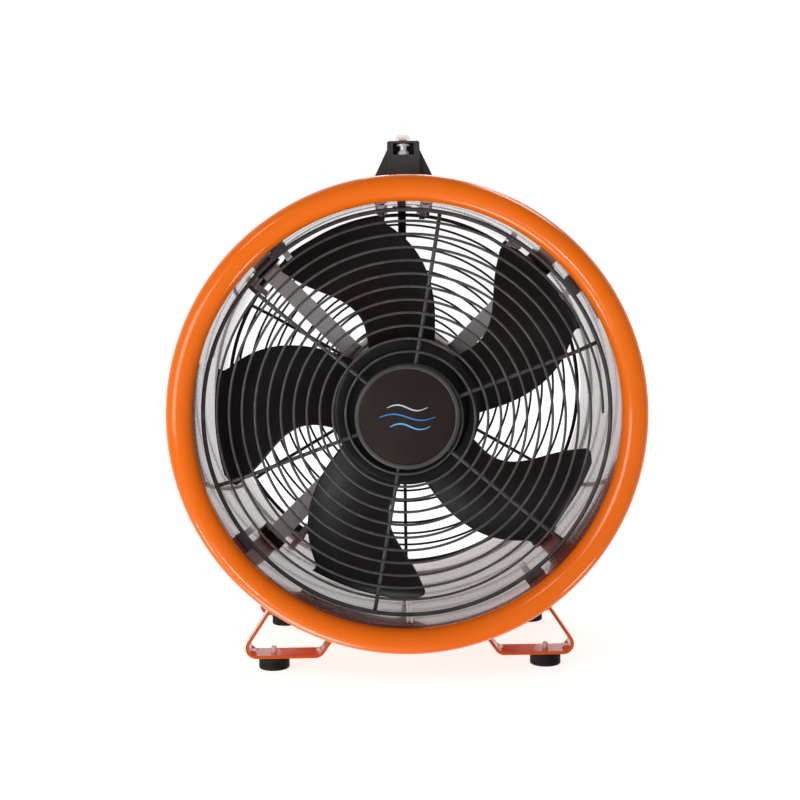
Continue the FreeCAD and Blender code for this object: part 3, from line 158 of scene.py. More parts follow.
def arc(centre_r, centre_y, radius, start, end, steps):
    """Points of a circular arc in the (radius, y) plane.

    Its angles are in degrees from the radius direction."""
    return [(centre_r + radius * math.cos(a), centre_y + radius * math.sin(a))
            for a in rounding(start, end, steps)]


def tube(shape, path, radius, sides, closed=False):
    """A round wire along a path, with rounded ends when it is open."""
    path = np.asarray(path, float)
    count = len(path)
    if closed:
        tangents = np.roll(path, -1, axis=0) - np.roll(path, 1, axis=0)
    else:
        tangents = np.gradient(path, axis=0)
    tangents /= np.linalg.norm(tangents, axis=1)[:, None]
    guide = np.array([0.0, 1.0, 0.0])
    if abs(tangents[0] @ guide) > 0.9:
        guide = np.array([1.0, 0.0, 0.0])
    stations = [(path[k], tangents[k], radius) for k in range(count)]
    if not closed:
        cap = [(math.sin(math.radians(a)), math.cos(math.radians(a))) for a in (15, 45, 75)]
        first = [(path[0] - tangents[0] * radius * c, tangents[0], radius * s) for s, c in cap]
        last = [(path[-1] + tangents[-1] * radius * c, tangents[-1], radius * s) for s, c in reversed(cap)]
        stations = first + stations + last
    points = []
    side_axis = None
    for centre, tangent, ring_r in stations:
        base = guide if side_axis is None else side_axis
        side_axis = base - tangent * (base @ tangent)
        side_axis /= np.linalg.norm(side_axis)
        other = np.cross(tangent, side_axis)
        for k in range(sides):
            angle = 2 * math.pi * k / sides
            points.append(centre + ring_r * (math.cos(angle) * side_axis + math.sin(angle) * other))
    faces = []
    rings = len(stations)
    for index in range(rings if closed else rings - 1):
        a, b = index * sides, ((index + 1) % rings) * sides
        for k in range(sides):
            n = (k + 1) % sides
            faces.append((a + k, a + n, b + n, b + k))
    if not closed:
        faces.append(tuple(range(sides)))
        faces.append(tuple(range((rings - 1) * sides, rings * sides)))
    shape.add(points, faces)


def ball(shape, centre, radii, turn):
    """A small flattened ball, its first radius along the given direction round the fan axis."""
    rows, columns = 6, 10
    points = [(0, 0, radii[2])]
    for row in range(1, rows):
        polar = math.pi * row / rows
        for column in range(columns):
            angle = 2 * math.pi * column / columns
            points.append((radii[0] * math.sin(polar) * math.cos(angle),
                           radii[1] * math.sin(polar) * math.sin(angle), radii[2] * math.cos(polar)))
    points.append((0, 0, -radii[2]))
    faces = [(0, 1 + k, 1 + (k + 1) % columns) for k in range(columns)]
    for row in range(rows - 2):
        a = 1 + row * columns
        b = a + columns
        faces += [(a + k, b + k, b + (k + 1) % columns, a + (k + 1) % columns) for k in range(columns)]
    a = 1 + (rows - 2) * columns
    faces += [(a + k, len(points) - 1, a + (k + 1) % columns) for k in range(columns)]
    spin = Matrix.Rotation(-turn, 3, "Y")
    placed = [spin @ Vector(p) + Vector(centre) for p in points]
    shape.add(placed, faces)


def place(piece, body, slot, *nodes):
    """Ride a finished piece on its body, in place of CAD nodes. The slot argument is not used."""
    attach(piece, body)
    if nodes:
        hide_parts(*nodes)


def soften(piece, width, segments, angle):
    """Round off the edges sharper than an angle."""
    soft = piece.modifiers.new("soft_edges", "BEVEL")
    soft.width = width
    soft.segments = segments
    soft.limit_method = "ANGLE"
    soft.angle_limit = math.radians(angle)
    soft.harden_normals = True


# ---- materials ----------------------------------------------------------
class Surface:
    """A Principled material with helpers for procedural colour, roughness and relief.

    The patterns lie in object space, in metres."""

    def __init__(self, name, color, roughness, metallic=0.0):
        self.material = bpy.data.materials.new(name)
        self.material.use_nodes = True
        self.tree = self.material.node_tree
        self.shader = self.tree.nodes["Principled BSDF"]
        self.color = color
        self.shader.inputs["Base Color"].default_value = (*color, 1)
        self.shader.inputs["Roughness"].default_value = roughness
        self.shader.inputs["Metallic"].default_value = metallic
        self.place = self.tree.nodes.new("ShaderNodeTexCoord").outputs["Object"]
        self.relief = None

    def set(self, **values):
        for name, value in values.items():
            self.shader.inputs[name.replace("_", " ")].default_value = value
        return self

    def stretched(self, scale):
        mapping = self.tree.nodes.new("ShaderNodeMapping")
        mapping.inputs["Scale"].default_value = scale
        self.tree.links.new(self.place, mapping.inputs["Vector"])
        return mapping.outputs["Vector"]

    def noise(self, scale, detail, stretch=None, roughness=0.55):
        node = self.tree.nodes.new("ShaderNodeTexNoise")
        node.inputs["Scale"].default_value = scale
        node.inputs["Detail"].default_value = detail
        node.inputs["Roughness"].default_value = roughness
        vector = self.stretched(stretch) if stretch else self.place
        self.tree.links.new(vector, node.inputs["Vector"])
        return node.outputs["Fac"]

    def grains(self, scale):
        node = self.tree.nodes.new("ShaderNodeTexVoronoi")
        node.inputs["Scale"].default_value = scale
        self.tree.links.new(self.place, node.inputs["Vector"])
        return node.outputs["Distance"]

    def ranged(self, value, low, high, from_low=0.3, from_high=0.7):
        node = self.tree.nodes.new("ShaderNodeMapRange")
        node.inputs["From Min"].default_value = from_low
        node.inputs["From Max"].default_value = from_high
        node.inputs["To Min"].default_value = low
        node.inputs["To Max"].default_value = high
        self.tree.links.new(value, node.inputs["Value"])
        return node.outputs["Result"]

    def tint(self, value, other, low=0.3, high=0.7):
        """Vary the base colour towards another colour where value is high."""
        ramp = self.tree.nodes.new("ShaderNodeMix")
        ramp.data_type = "RGBA"
        ramp.inputs[6].default_value = (*self.color, 1)
        ramp.inputs[7].default_value = (*other, 1)
        self.tree.links.new(self.ranged(value, 0.0, 1.0, low, high), ramp.inputs[0])
        self.tree.links.new(ramp.outputs[2], self.shader.inputs["Base Color"])
        return self

    def rough(self, value, low, high):
        self.tree.links.new(self.ranged(value, low, high), self.shader.inputs["Roughness"])
        return self

    def bump(self, value, distance, strength):
        node = self.tree.nodes.new("ShaderNodeBump")
        node.inputs["Distance"].default_value = distance
        node.inputs["Strength"].default_value = strength
        self.tree.links.new(value, node.inputs["Height"])
        if self.relief is not None:
            self.tree.links.new(self.relief, node.inputs["Normal"])
        self.relief = node.outputs["Normal"]
        self.tree.links.new(self.relief, self.shader.inputs["Normal"])
        return self


def enamel(name, color, shade):
    """Glossy enamel with a faint orange peel, small gloss patches and a slow colour drift."""
    made = Surface(name, color, 0.18)
    made.set(Coat_Weight=0.3, Coat_Roughness=0.04, IOR=1.48)
    made.tint(made.noise(5.0, 3.0), shade, 0.4, 0.85)
    made.rough(made.noise(70.0, 4.0), 0.14, 0.23)
    return made.bump(made.noise(620.0, 2.0), 0.00002, 0.3)


def shaded_enamel(name, color, shade):
    """The drum's sprayed inside: painted shade, a darker and redder copy of the orange enamel for the
    inner wall that the fan and drum keep in shade, its tone wandering in bands round the drum; the rolled
    sheet's ripples run round the drum too.
    """
    made = Surface(name, color, 0.16)
    made.set(Coat_Weight=0.8, Coat_Roughness=0.06, IOR=1.52)
    made.tint(made.noise(14.0, 4.0, (1, 3, 1)), shade, 0.4, 0.75)
    made.rough(made.noise(40.0, 4.0, (1, 4, 1)), 0.1, 0.3)
    made.bump(made.noise(620.0, 2.0), 0.00002, 0.3)
    return made.bump(made.noise(16.0, 5.0, (1, 5, 1), 0.65), 0.0015, 0.4)


def coated_wire(name, color):
    """Satin powder coat on wire: fine pebble and slightly polished high spots."""
    made = Surface(name, color, 0.36)
    made.set(Specular_IOR_Level=0.6)
    made.tint(made.noise(130.0, 4.0), tuple(c * 1.7 for c in color), 0.45, 0.75)
    made.rough(made.noise(300.0, 3.0), 0.28, 0.46)
    return made.bump(made.noise(1500.0, 2.0), 0.00006, 0.5)


def moulding(name, color, low, high, grain=0.0, grain_scale=1700.0):
    """Moulded plastic with flow marks, slight gloss patches and, if asked, a spark-eroded grain."""
    made = Surface(name, color, (low + high) / 2)
    made.tint(made.noise(24.0, 5.0), tuple(c * 1.5 + 0.002 for c in color), 0.4, 0.8)
    made.rough(made.noise(85.0, 4.0), low, high)
    made.bump(made.noise(38.0, 3.0), 0.0004, 0.1)
    if grain:
        made.bump(made.grains(grain_scale), 0.0001, grain)
    return made


def rubber(name, color):
    """Moulded rubber with a dusty bloom."""
    made = Surface(name, color, 0.62)
    made.set(Specular_IOR_Level=0.25)
    made.tint(made.noise(70.0, 6.0), tuple(c * 2.4 + 0.004 for c in color), 0.5, 0.8)
    made.rough(made.noise(200.0, 4.0), 0.5, 0.75)
    return made.bump(made.noise(1200.0, 3.0), 0.00008, 0.6)


def plated(name, color, low, high, brushed=(1, 1, 1), spots=0.5, metallic=1.0):
    """Plated or plain metal with drawn streaks and dull spots."""
    made = Surface(name, color, (low + high) / 2, metallic)
    made.tint(made.noise(140.0, 5.0), tuple(c * spots for c in color), 0.5, 0.85)
    made.rough(made.noise(220.0, 4.0, brushed), low, high)
    return made.bump(made.noise(900.0, 2.0, brushed), 0.00004, 0.4)


orange_paint = enamel("orange_enamel", (0.87, 0.158, 0.003), (0.81, 0.138, 0.003)).material
# Painted shade: the foot straps wear the drum's orange enamel, painted darker and browner for the shade
# under the drum.
strap_shade_paint = enamel("foot_strap_shade_enamel", (0.56, 0.10, 0.008), (0.48, 0.08, 0.008)).material
# Painted shade: a dark red copy of the orange enamel for the drum's inner wall, which the fan and drum
# keep in shade.
inner_wall_shade_paint = shaded_enamel("inner_wall_painted_shade_enamel", (0.36, 0.05, 0.024), (0.18, 0.022, 0.014)).material
guard_coat = coated_wire("guard_powder_coat", (0.055, 0.055, 0.056)).material
cap_plastic = moulding("cap_moulding", (0.055, 0.055, 0.056), 0.34, 0.46, 0.25).material
badge_film = moulding("badge_print", (0.017, 0.0085, 0.006), 0.42, 0.5).material
fan_plastic = moulding("fan_moulding", (0.013, 0.0128, 0.0134), 0.34, 0.46).material
handle_plastic = moulding("handle_moulding", (0.046, 0.046, 0.047), 0.42, 0.56, 0.55, 2400.0).material
gland_plastic = moulding("gland_nylon", (0.02, 0.02, 0.021), 0.45, 0.6, 0.2).material
switch_plastic = moulding("switch_moulding", (0.02, 0.02, 0.02), 0.35, 0.45).material
capacitor_plastic = moulding("capacitor_case", (0.55, 0.55, 0.52), 0.4, 0.55, 0.2).material
foot_rubber = rubber("foot_rubber", (0.008, 0.008, 0.0084)).material
pad_rubber = rubber("pad_rubber", (0.02, 0.02, 0.021)).material
lead_rubber = rubber("lead_sheath", (0.016, 0.016, 0.017)).material
zinc = plated("zinc_plate", (0.80, 0.80, 0.81), 0.24, 0.42, (1, 0.15, 1), 0.85, 0.3).material
# Painted light: a lighter, barely metallic copy of the zinc plate, so the arms read bright although the
# drum shades them.
arms_lit_zinc = plated("arms_lit_zinc", (0.90, 0.90, 0.91), 0.28, 0.45, (1, 0.15, 1), 0.85, 0.1).material
bolt_plate = plated("bright_plate", (0.92, 0.92, 0.93), 0.15, 0.3, (1, 0.15, 1), 0.85, 0.3).material
dark_steel = plated("black_oxide", (0.11, 0.11, 0.112), 0.3, 0.45, metallic=0.5).material
bright_steel = plated("ground_steel", (0.72, 0.72, 0.74), 0.12, 0.22, (1, 0.05, 1), 0.85).material
core_steel = plated("laminations", (0.22, 0.22, 0.23), 0.35, 0.55, (0.3, 4, 0.3)).material
copper = plated("enamelled_copper", (0.72, 0.27, 0.10), 0.25, 0.4, (1, 6, 1)).material
brass = plated("turned_brass", (0.78, 0.56, 0.22), 0.2, 0.35, (1, 3, 1), 0.8).material
alloy = plated("cast_alloy", (0.52, 0.53, 0.54), 0.38, 0.55, (1, 1, 1), 0.75).material
motor_paint = coated_wire("motor_paint", (0.022, 0.022, 0.024)).material


def rocker_plastic():
    """Deep red see-through moulding."""
    made = moulding("rocker_moulding", (0.80, 0.035, 0.05), 0.16, 0.26)
    return made.set(Transmission_Weight=0.15, IOR=1.49).material


def cover_plastic():
    """Soft clear splash cover, slightly hazed."""
    made = Surface("clear_cover", (0.90, 0.91, 0.92), 0.1)
    made.set(Alpha=0.14, IOR=1.41)
    made.tint(made.noise(160.0, 4.0), (0.80, 0.82, 0.84), 0.45, 0.8)
    made.rough(made.noise(260.0, 3.0), 0.06, 0.16)
    return made.bump(made.noise(400.0, 3.0), 0.00003, 0.2).material


rocker_red = rocker_plastic()
clear_cover = cover_plastic()


# ---- camera -------------------------------------------------------------
EYE = Vector((-14 * MM, rim_low.y - 1127 * MM, AXIS.z + 124.5 * MM))
LENS = 70.0
SENSOR = 36.0
TILT_DOWN = 5.60        # this and the next two in degrees
TURN_RIGHT = 0.44
ROLL = 0.8


def camera():
    """Almost straight in front of the intake, at about three quarters of the fan's height."""
    lens = bpy.data.cameras.new("camera")
    lens.sensor_width = SENSOR
    lens.lens = LENS
    eye = bpy.data.objects.new("camera", lens)
    bpy.context.scene.collection.objects.link(eye)
    eye.location = EYE
    base = Euler((math.radians(90 - TILT_DOWN), 0, -math.radians(TURN_RIGHT)), "XYZ").to_matrix()
    eye.rotation_euler = (base @ Matrix.Rotation(-math.radians(ROLL), 3, "Z")).to_euler()
    bpy.context.scene.camera = eye


camera()


# ---- drum ---------------------------------------------------------------
LIP = 6 * MM
CURL_R = 5 * MM
DRUM_SEGMENTS = 320
SEAM_HALF_WIDTH = 2.2 * MM
SEAM_RISE = 0.35 * MM
SEAM_END_GAP = 16 * MM


def paint_shade_inside(piece):
    """Give the faces on the drum's inner wall the darker enamel painted as shade for the inside of the
    drum.
    """
    piece.data.materials.append(inner_wall_shade_paint)
    for face in piece.data.polygons:
        radius = math.hypot(face.center.x - AXIS.x, face.center.z - AXIS.z)
        if radius < DRUM_IN_R + SHEET / 2 and abs(face.center.y) < RIM_Y:
            face.material_index = 1
    return piece


def drum():
    """The rolled drum: one closed section of bead, lip and wall, turned about the fan axis."""
    bead_centre = DRUM_IN_R + BEAD_R
    lip_y = RIM_Y - LIP
    curl_centre = RIM_R - CURL_R

    def end_outline():
        outside = arc(bead_centre, RIM_Y, BEAD_R, 180, 0, 36)
        curl = arc(curl_centre, lip_y, CURL_R, 0, -90, 10)
        back = arc(curl_centre, lip_y, CURL_R - SHEET, -90, 0, 10)
        inside = arc(bead_centre, RIM_Y, BEAD_R - SHEET, 0, 180, 28)
        return outside + curl + back + inside

    rear = end_outline()
    front = [(radius, -y) for radius, y in reversed(rear)]
    body = Shape()
    lathe(body, rear + front, DRUM_SEGMENTS)
    # The inner wall takes the painted-shade enamel.
    shell = paint_shade_inside(body.make("drum_shell", orange_paint, 50))
    place(shell, "housing", "orange_paint", "drum_wall", "front_rim", "rear_rim")


def drum_seam():
    """The ground-down weld where the rolled sheet meets, low on the drum between the feet."""
    weld = Shape()
    angle = math.radians(-90)
    steps = 120
    places_across = (-1.0, -0.6, 0.0, 0.6, 1.0)
    width = len(places_across)
    sunk = 0.05 * MM
    for radius, height in ((DRUM_IN_R + SHEET, SEAM_RISE), (DRUM_IN_R, -SEAM_RISE)):
        points = []
        for k in range(steps + 1):
            y = (RIM_Y - SEAM_END_GAP) * (2 * k / steps - 1)
            ripple = 1 + 0.2 * math.sin(k * 2.1) * math.sin(k * 0.37 + 1)
            for across in places_across:
                rise = height * (1 - across ** 2) * ripple - math.copysign(sunk, height) * abs(across)
                points.append(around_axis(radius + rise, y, angle + across * SEAM_HALF_WIDTH / radius))
        faces = [(a, a + 1, a + width + 1, a + width)
                 for k in range(steps) for a in range(k * width, (k + 1) * width - 1)]
        weld.add(points, faces)
    # The seam's inner faces take the painted-shade enamel too.
    piece = paint_shade_inside(weld.make("drum_seam", orange_paint, 60))
    thick = piece.modifiers.new("thickness", "SOLIDIFY")
    thick.thickness = 0.15 * MM
    thick.offset = 0
    place(piece, "housing", "orange_paint")


# ---- guards -------------------------------------------------------------
SPIRAL_START_R = 36 * MM
SPIRAL_PITCH = 9.6 * MM
SPIRAL_HALF_TURNS = 23
DOME_START_R = 119 * MM
DOME_R = 50 * MM
WIRE_GAP = 0.1 * MM
SPOKE_COUNT = 6
SPOKE_START_R = 30 * MM
SPOKE_BEND = 44         # degrees
SPIRAL_STEPS = 120      # a full turn
HOOP_STEPS = 240
GUARD_FACE_Y = 114 * MM
NUGGET = (1.5 * MM, 0.55 * MM, 1.1 * MM)
HOOP_R = (hoop_high.x - hoop_low.x) / 2 - HOOP_WIRE_R
HOOP_Y = (hoop_low.y + hoop_high.y) / 2


def dome_depth(radius):
    """How far the spiral lies behind its flat middle at a radius."""
    past = radius - DOME_START_R
    if past <= 0:
        return 0.0
    return DOME_R - math.sqrt(DOME_R ** 2 - past ** 2)


def spiral_radius(turns):
    return SPIRAL_START_R + SPIRAL_PITCH * turns


class Guard:
    """One wire guard.

    side is -1 at the intake and 1 at the outlet. winding is 1 where the spiral opens out
    anticlockwise as seen from the intake, and -1 the other way. The angles are in degrees."""

    def __init__(self, end, side, start_angle, winding, first_spoke):
        self.end = end
        self.face_y = side * GUARD_FACE_Y
        self.side = side
        self.start = math.radians(start_angle)
        self.winding = winding
        self.first_spoke = math.radians(first_spoke)

    def at(self, radius, depth, angle):
        return around_axis(radius, self.face_y - self.side * depth, angle)

    def spiral(self):
        path = []
        for k in range(SPIRAL_HALF_TURNS * SPIRAL_STEPS // 2 + 1):
            turns = k / SPIRAL_STEPS
            radius = spiral_radius(turns)
            angle = self.start + self.winding * 2 * math.pi * turns
            path.append(self.at(radius, dome_depth(radius), angle))
        wire = Shape()
        tube(wire, path, WIRE_R, 12)
        self.add_piece(wire, "spiral_wire", 70, self.end + "_guard_spiral")

    def spokes(self):
        bend_r = DOME_R - WIRE_R - SPOKE_R - WIRE_GAP
        depth = WIRE_R + SPOKE_R + WIRE_GAP
        wires = Shape()
        for k in range(SPOKE_COUNT):
            angle = self.first_spoke + 2 * math.pi * k / SPOKE_COUNT
            straight = DOME_START_R - SPOKE_START_R
            path = [self.at(SPOKE_START_R + straight * s / 24, depth, angle) for s in range(24)]
            for bend in rounding(0, SPOKE_BEND, 20):
                path.append(self.at(DOME_START_R + bend_r * math.sin(bend),
                                    depth + bend_r * (1 - math.cos(bend)), angle))
            tube(wires, path, SPOKE_R, 14)
        self.add_piece(wires, "spoke_wires", 70, self.end + "_guard_spokes")

    def hoop(self):
        y = -self.side * HOOP_Y
        path = [around_axis(HOOP_R, y, 2 * math.pi * k / HOOP_STEPS) for k in range(HOOP_STEPS)]
        wire = Shape()
        tube(wire, path, HOOP_WIRE_R, 16, closed=True)
        self.add_piece(wire, "hoop_wire", 70, self.end + "_guard_hoop")

    def welds(self):
        """A small squeezed nugget wherever the spiral crosses a spoke."""
        nuggets = Shape()
        for k in range(SPOKE_COUNT):
            angle = self.first_spoke + 2 * math.pi * k / SPOKE_COUNT
            turns = self.winding * (angle - self.start) / (2 * math.pi) % 1.0
            while turns < SPIRAL_HALF_TURNS / 2:
                radius = spiral_radius(turns)
                if radius > CAP_R:
                    middle = dome_depth(radius) + WIRE_R + WIRE_GAP / 2
                    ball(nuggets, self.at(radius, middle, angle), NUGGET, angle)
                turns += 1.0
        self.add_piece(nuggets, "welds", 60)

    def add_piece(self, shape, name, sharp, *nodes):
        piece = shape.make(self.end + "_guard_" + name, guard_coat, sharp)
        place(piece, "housing", "guard_black", *nodes)

    def build(self):
        self.spiral()
        self.spokes()
        self.hoop()
        self.welds()


# ---- guard caps ---------------------------------------------------------
CAP_SKIRT_Y = 115.1 * MM
CAP_FACE_Y = 121.6 * MM
CAP_SEGMENTS = 160
CAP_RIM = 3.6 * MM          # breadth of the raised ring
CAP_DISH = 1.4 * MM
CAP_SKIN = 2.4 * MM
CAP_BEVEL = 1.9 * MM
CAP_WALL = 3.2 * MM
BADGE_EDGE = 0.35 * MM


def cap_outline(base, top, toward):
    """Section of a guard cap from its dish out over the raised ring and back inside the skirt."""
    dish_r = CAP_R - CAP_RIM
    dish_y = top - toward * CAP_DISH
    skin_y = dish_y - toward * CAP_SKIN
    rounded = arc(CAP_R - CAP_BEVEL, 0, CAP_BEVEL, 90, 0, 10)
    crest = [(radius, top - toward * (CAP_BEVEL - y)) for radius, y in rounded]
    lip = [(dish_r, dish_y), (dish_r + 0.25 * MM, top - toward * 0.35 * MM), (dish_r + 0.9 * MM, top)]
    wall_r = CAP_R - CAP_WALL
    inside = [(CAP_R, base), (wall_r, base), (wall_r - 0.2 * MM, skin_y), (0, skin_y)]
    return [(0, dish_y), (dish_r - 0.4 * MM, dish_y)] + lip + crest + inside


def cap(node, toward):
    """A guard cap. toward is -1 at the intake and 1 at the outlet."""
    body = Shape()
    outline = cap_outline(toward * CAP_SKIRT_Y, toward * CAP_FACE_Y, toward)
    lathe(body, outline, CAP_SEGMENTS, closed=False)
    place(body.make(node + "_moulding", cap_plastic, 40), "housing", "cap_plastic", node)


def badge_disc():
    """The printed disc: flat, with a softened rim."""
    radius = badge_high.x
    face = badge_low.y
    rim = arc(radius - BADGE_EDGE, face + BADGE_EDGE, BADGE_EDGE, -90, 0, 6)
    outline = [(0, face)] + rim + [(radius, badge_high.y), (0, badge_high.y)]
    disc = Shape()
    lathe(disc, outline, CAP_SEGMENTS, closed=False)
    place(disc.make("badge_disc", badge_film, 40), "housing", "badge_film", "front_cap_badge")


# Millimetres. A line's section is given in half widths across and in its height off the badge.
LINE_WIDTH = 1.15
LINE_STEPS = 72
LINE_SECTION = ((-1, 0.02), (-0.8, -0.12), (0.8, -0.12), (1, 0.02))
AIRFLOW_LINES = [
    # piece, ink, colour, height, start, length, swing
    ("badge_line_upper", "ink_pale", (0.50, 0.60, 0.66), 7, -15, 30, 2.2),
    ("badge_line_middle", "ink_blue", (0.02, 0.20, 0.52), 0, -21, 42, 2.4),
    ("badge_line_lower", "ink_sky", (0.08, 0.42, 0.72), -7, -13, 30, 2.2),
]


def airflow_line(name, ink, color, height, start, length, swing):
    """One wavy line of the plain airflow mark, a thin raised strip on the badge."""
    middle = Vector((AXIS.x, badge_low.y, AXIS.z))
    points = []
    for k in range(LINE_STEPS + 1):
        part = k / LINE_STEPS
        wave = part * 2 * math.pi
        spine = Vector((start + length * part, 0, height + swing * math.sin(wave)))
        slope = swing * 2 * math.pi / length * math.cos(wave)
        width = LINE_WIDTH * (0.25 + 0.75 * math.sin(math.pi * part ** 0.8) ** 0.6)
        normal = Vector((-slope, 0, 1)).normalized()
        for across, rise in LINE_SECTION:
            points.append(middle + MM * (spine + Vector((0, rise, 0)) + normal * (across * width / 2)))
    size = len(LINE_SECTION)
    faces = []
    for k in range(LINE_STEPS):
        a, b = k * size, (k + 1) * size
        faces += [(a + c, a + (c + 1) % size, b + (c + 1) % size, b + c) for c in range(size)]
    faces += [tuple(range(size)), tuple(range(LINE_STEPS * size, len(points)))]
    strip = Shape()
    strip.add(points, faces)
    material = moulding(ink, color, 0.3, 0.4).material
    place(strip.make(name, material, 40), "housing", "badge_film")


# ---- fan ----------------------------------------------------------------
BLADE_COUNT = 5
BLADE_TURN = -14.0
BLADE_STATIONS = [
    # radius, leading angle, trailing angle, leading depth, trailing depth (millimetres and degrees)
    (53.0, -8.0, -66.0, 82.0, 43.0),
    (64.0, -12.6, -61.7, 81.0, 43.5),
    (80.0, -14.4, -57.2, 79.5, 44.0),
    (96.0, -10.6, -52.8, 77.5, 44.5),
    (112.0, -4.9, -48.0, 75.5, 45.5),
    (128.0, -0.8, -42.0, 73.5, 46.5),
    (140.0, 0.9, -36.4, 72.0, 47.5),
    (146.0, 0.2, -34.2, 71.2, 48.3),
    (149.5, -3.0, -34.6, 69.2, 49.4),
]
BLADE_CAMBER = 5.0      # this and the next two in millimetres
BLADE_SKIN = 3.2
TIP_ROUND = 1.4
CHORD_STEPS = 28
HUB_SEGMENTS = 192
HUB_R = 55.5 * MM
HUB_RING_R = 47 * MM
HUB_WALL = 3 * MM
HUB_EDGE = 2.6 * MM
HUB_FILLET = 4 * MM
HUB_WEB_DEPTH = 8 * MM
HUB_WEB = 3.5 * MM
BOSS_R = 14 * MM
BUSH_R = 9 * MM
BOSS_FRONT_Y = -84 * MM
BOSS_REAR_Y = -62 * MM


def natural_spline(knots, values, wanted):
    """Natural cubic spline through the knots, read at the wanted places."""
    knots, values = np.asarray(knots, float), np.asarray(values, float)
    count = len(knots)
    gaps = np.diff(knots)
    system = np.eye(count)
    right = np.zeros(count)
    for i in range(1, count - 1):
        system[i, i - 1:i + 2] = gaps[i - 1], 2 * (gaps[i - 1] + gaps[i]), gaps[i]
        right[i] = 6 * ((values[i + 1] - values[i]) / gaps[i] - (values[i] - values[i - 1]) / gaps[i - 1])
    bends = np.linalg.solve(system, right)
    made = []
    for x in wanted:
        i = int(min(max(np.searchsorted(knots, x) - 1, 0), count - 2))
        a, b, h = knots[i + 1] - x, x - knots[i], gaps[i]
        made.append((bends[i] * a ** 3 + bends[i + 1] * b ** 3) / (6 * h)
                    + (values[i] / h - bends[i] * h / 6) * a
                    + (values[i + 1] / h - bends[i + 1] * h / 6) * b)
    return np.array(made)


def blade_loop(radius, lead, trail, lead_z, trail_z, skin):
    """Closed section of a blade at one radius: front face, trailing edge, rear face, leading edge."""
    loop = []

    def spot(part, offset):
        angle = math.radians(lead + (trail - lead) * part)
        bow = BLADE_CAMBER * 4 * part * (1 - part)
        depth = lead_z + (trail_z - lead_z) * part - bow
        return around_axis(radius * MM, -(depth - BLADE_SKIN / 2 + offset) * MM, angle)

    for k in range(2 * CHORD_STEPS):
        part = 0.5 - 0.5 * math.cos(math.pi * k / CHORD_STEPS)
        loop.append((part, 1 if k <= CHORD_STEPS else -1))
    points = []
    chord = math.radians(abs(trail - lead)) * radius
    for part, face in loop:
        edge = min(part, 1 - part) * chord
        fullness = math.sqrt(max(0.0, 1 - max(0.0, 1 - edge / (skin / 2)) ** 2))
        points.append(spot(part, face * skin / 2 * fullness))
    return points


def blade(shape, turn):
    """A blade lofted over its stations, thicker at the root and rounded off at the tip."""
    radii = [row[0] for row in BLADE_STATIONS]
    tip = radii[-1]
    body = list(np.linspace(radii[0], 138, 46)) + list(np.linspace(139, tip - TIP_ROUND, 16))
    ends = [tip - TIP_ROUND * (1 - math.sin(math.radians(a))) for a in (18, 36, 54, 72, 86)]
    wanted = body + ends
    columns = [natural_spline(radii, [row[c] for row in BLADE_STATIONS], wanted) for c in range(1, 5)]
    loops = []
    for k, radius in enumerate(wanted):
        skin = 2.5 + 0.6 * max(0.0, 1 - (radius - 53) / 30)
        if radius > tip - TIP_ROUND:
            skin *= math.sqrt(max(0.02, 1 - ((radius - tip + TIP_ROUND) / TIP_ROUND) ** 2))
        loops.append(blade_loop(radius, *(column[k] for column in columns), skin))
    spin = Matrix.Rotation(-math.radians(turn), 3, "Y")
    size = len(loops[0])
    points = [spin @ (Vector(p) - AXIS) + AXIS for loop in loops for p in loop]
    faces = []
    for k in range(len(loops) - 1):
        for c in range(size):
            n = (c + 1) % size
            faces.append((k * size + c, k * size + n, (k + 1) * size + n, (k + 1) * size + c))
    half = size // 2
    for base in (0, (len(loops) - 1) * size):
        for c in range(half):
            corners = distinct((base + c, base + c + 1, base + size - c - 1, base + (size - c) % size))
            if len(corners) > 2:
                faces.append(corners)
    shape.add(points, faces)


def fan():
    """Blades and hub of the moulded fan."""
    front = fan_low.y
    rear = fan_high.y
    web = front + HUB_WEB_DEPTH
    web_back = web + HUB_WEB
    bore_r = HUB_R - HUB_WALL
    dish_r = HUB_RING_R - HUB_FILLET
    nick = 0.6 * MM
    outline = [(BOSS_R, web), (dish_r, web)]
    outline += [(dish_r + HUB_FILLET * math.sin(a), web - HUB_FILLET * (1 - math.cos(a)))
                for a in rounding(15, 90, 5)]
    outline += [(HUB_RING_R, front + 0.9 * MM), (HUB_RING_R + 0.4 * MM, front + 0.3 * MM)]
    outline += [(HUB_RING_R + 1.3 * MM, front)]
    outline += arc(HUB_R - HUB_EDGE, front + HUB_EDGE, HUB_EDGE, -90, 0, 10)
    outline += [(HUB_R, rear - nick), (HUB_R - nick, rear), (bore_r + nick, rear), (bore_r, rear - nick)]
    outline += [(bore_r, web_back + HUB_FILLET), (bore_r - HUB_FILLET, web_back)]
    outline += [(BOSS_R + 2 * MM, web_back), (BOSS_R, web_back + 2 * MM)]
    outline += [(BOSS_R, BOSS_REAR_Y), (BUSH_R, BOSS_REAR_Y), (BUSH_R, BOSS_FRONT_Y)]
    outline += [(BOSS_R - nick, BOSS_FRONT_Y), (BOSS_R, BOSS_FRONT_Y + nick)]
    moulding_mesh = Shape()
    lathe(moulding_mesh, outline, HUB_SEGMENTS)
    for k in range(BLADE_COUNT):
        blade(moulding_mesh, BLADE_TURN + 360.0 * k / BLADE_COUNT)
    place(moulding_mesh.make("fan_moulding", fan_plastic, 40), "fan_rotor", "fan_black", "impeller")


# ---- feet ---------------------------------------------------------------
FOOT_ROUND = 1.7 * MM
FOOT_SHOULDER = 0.8 * MM


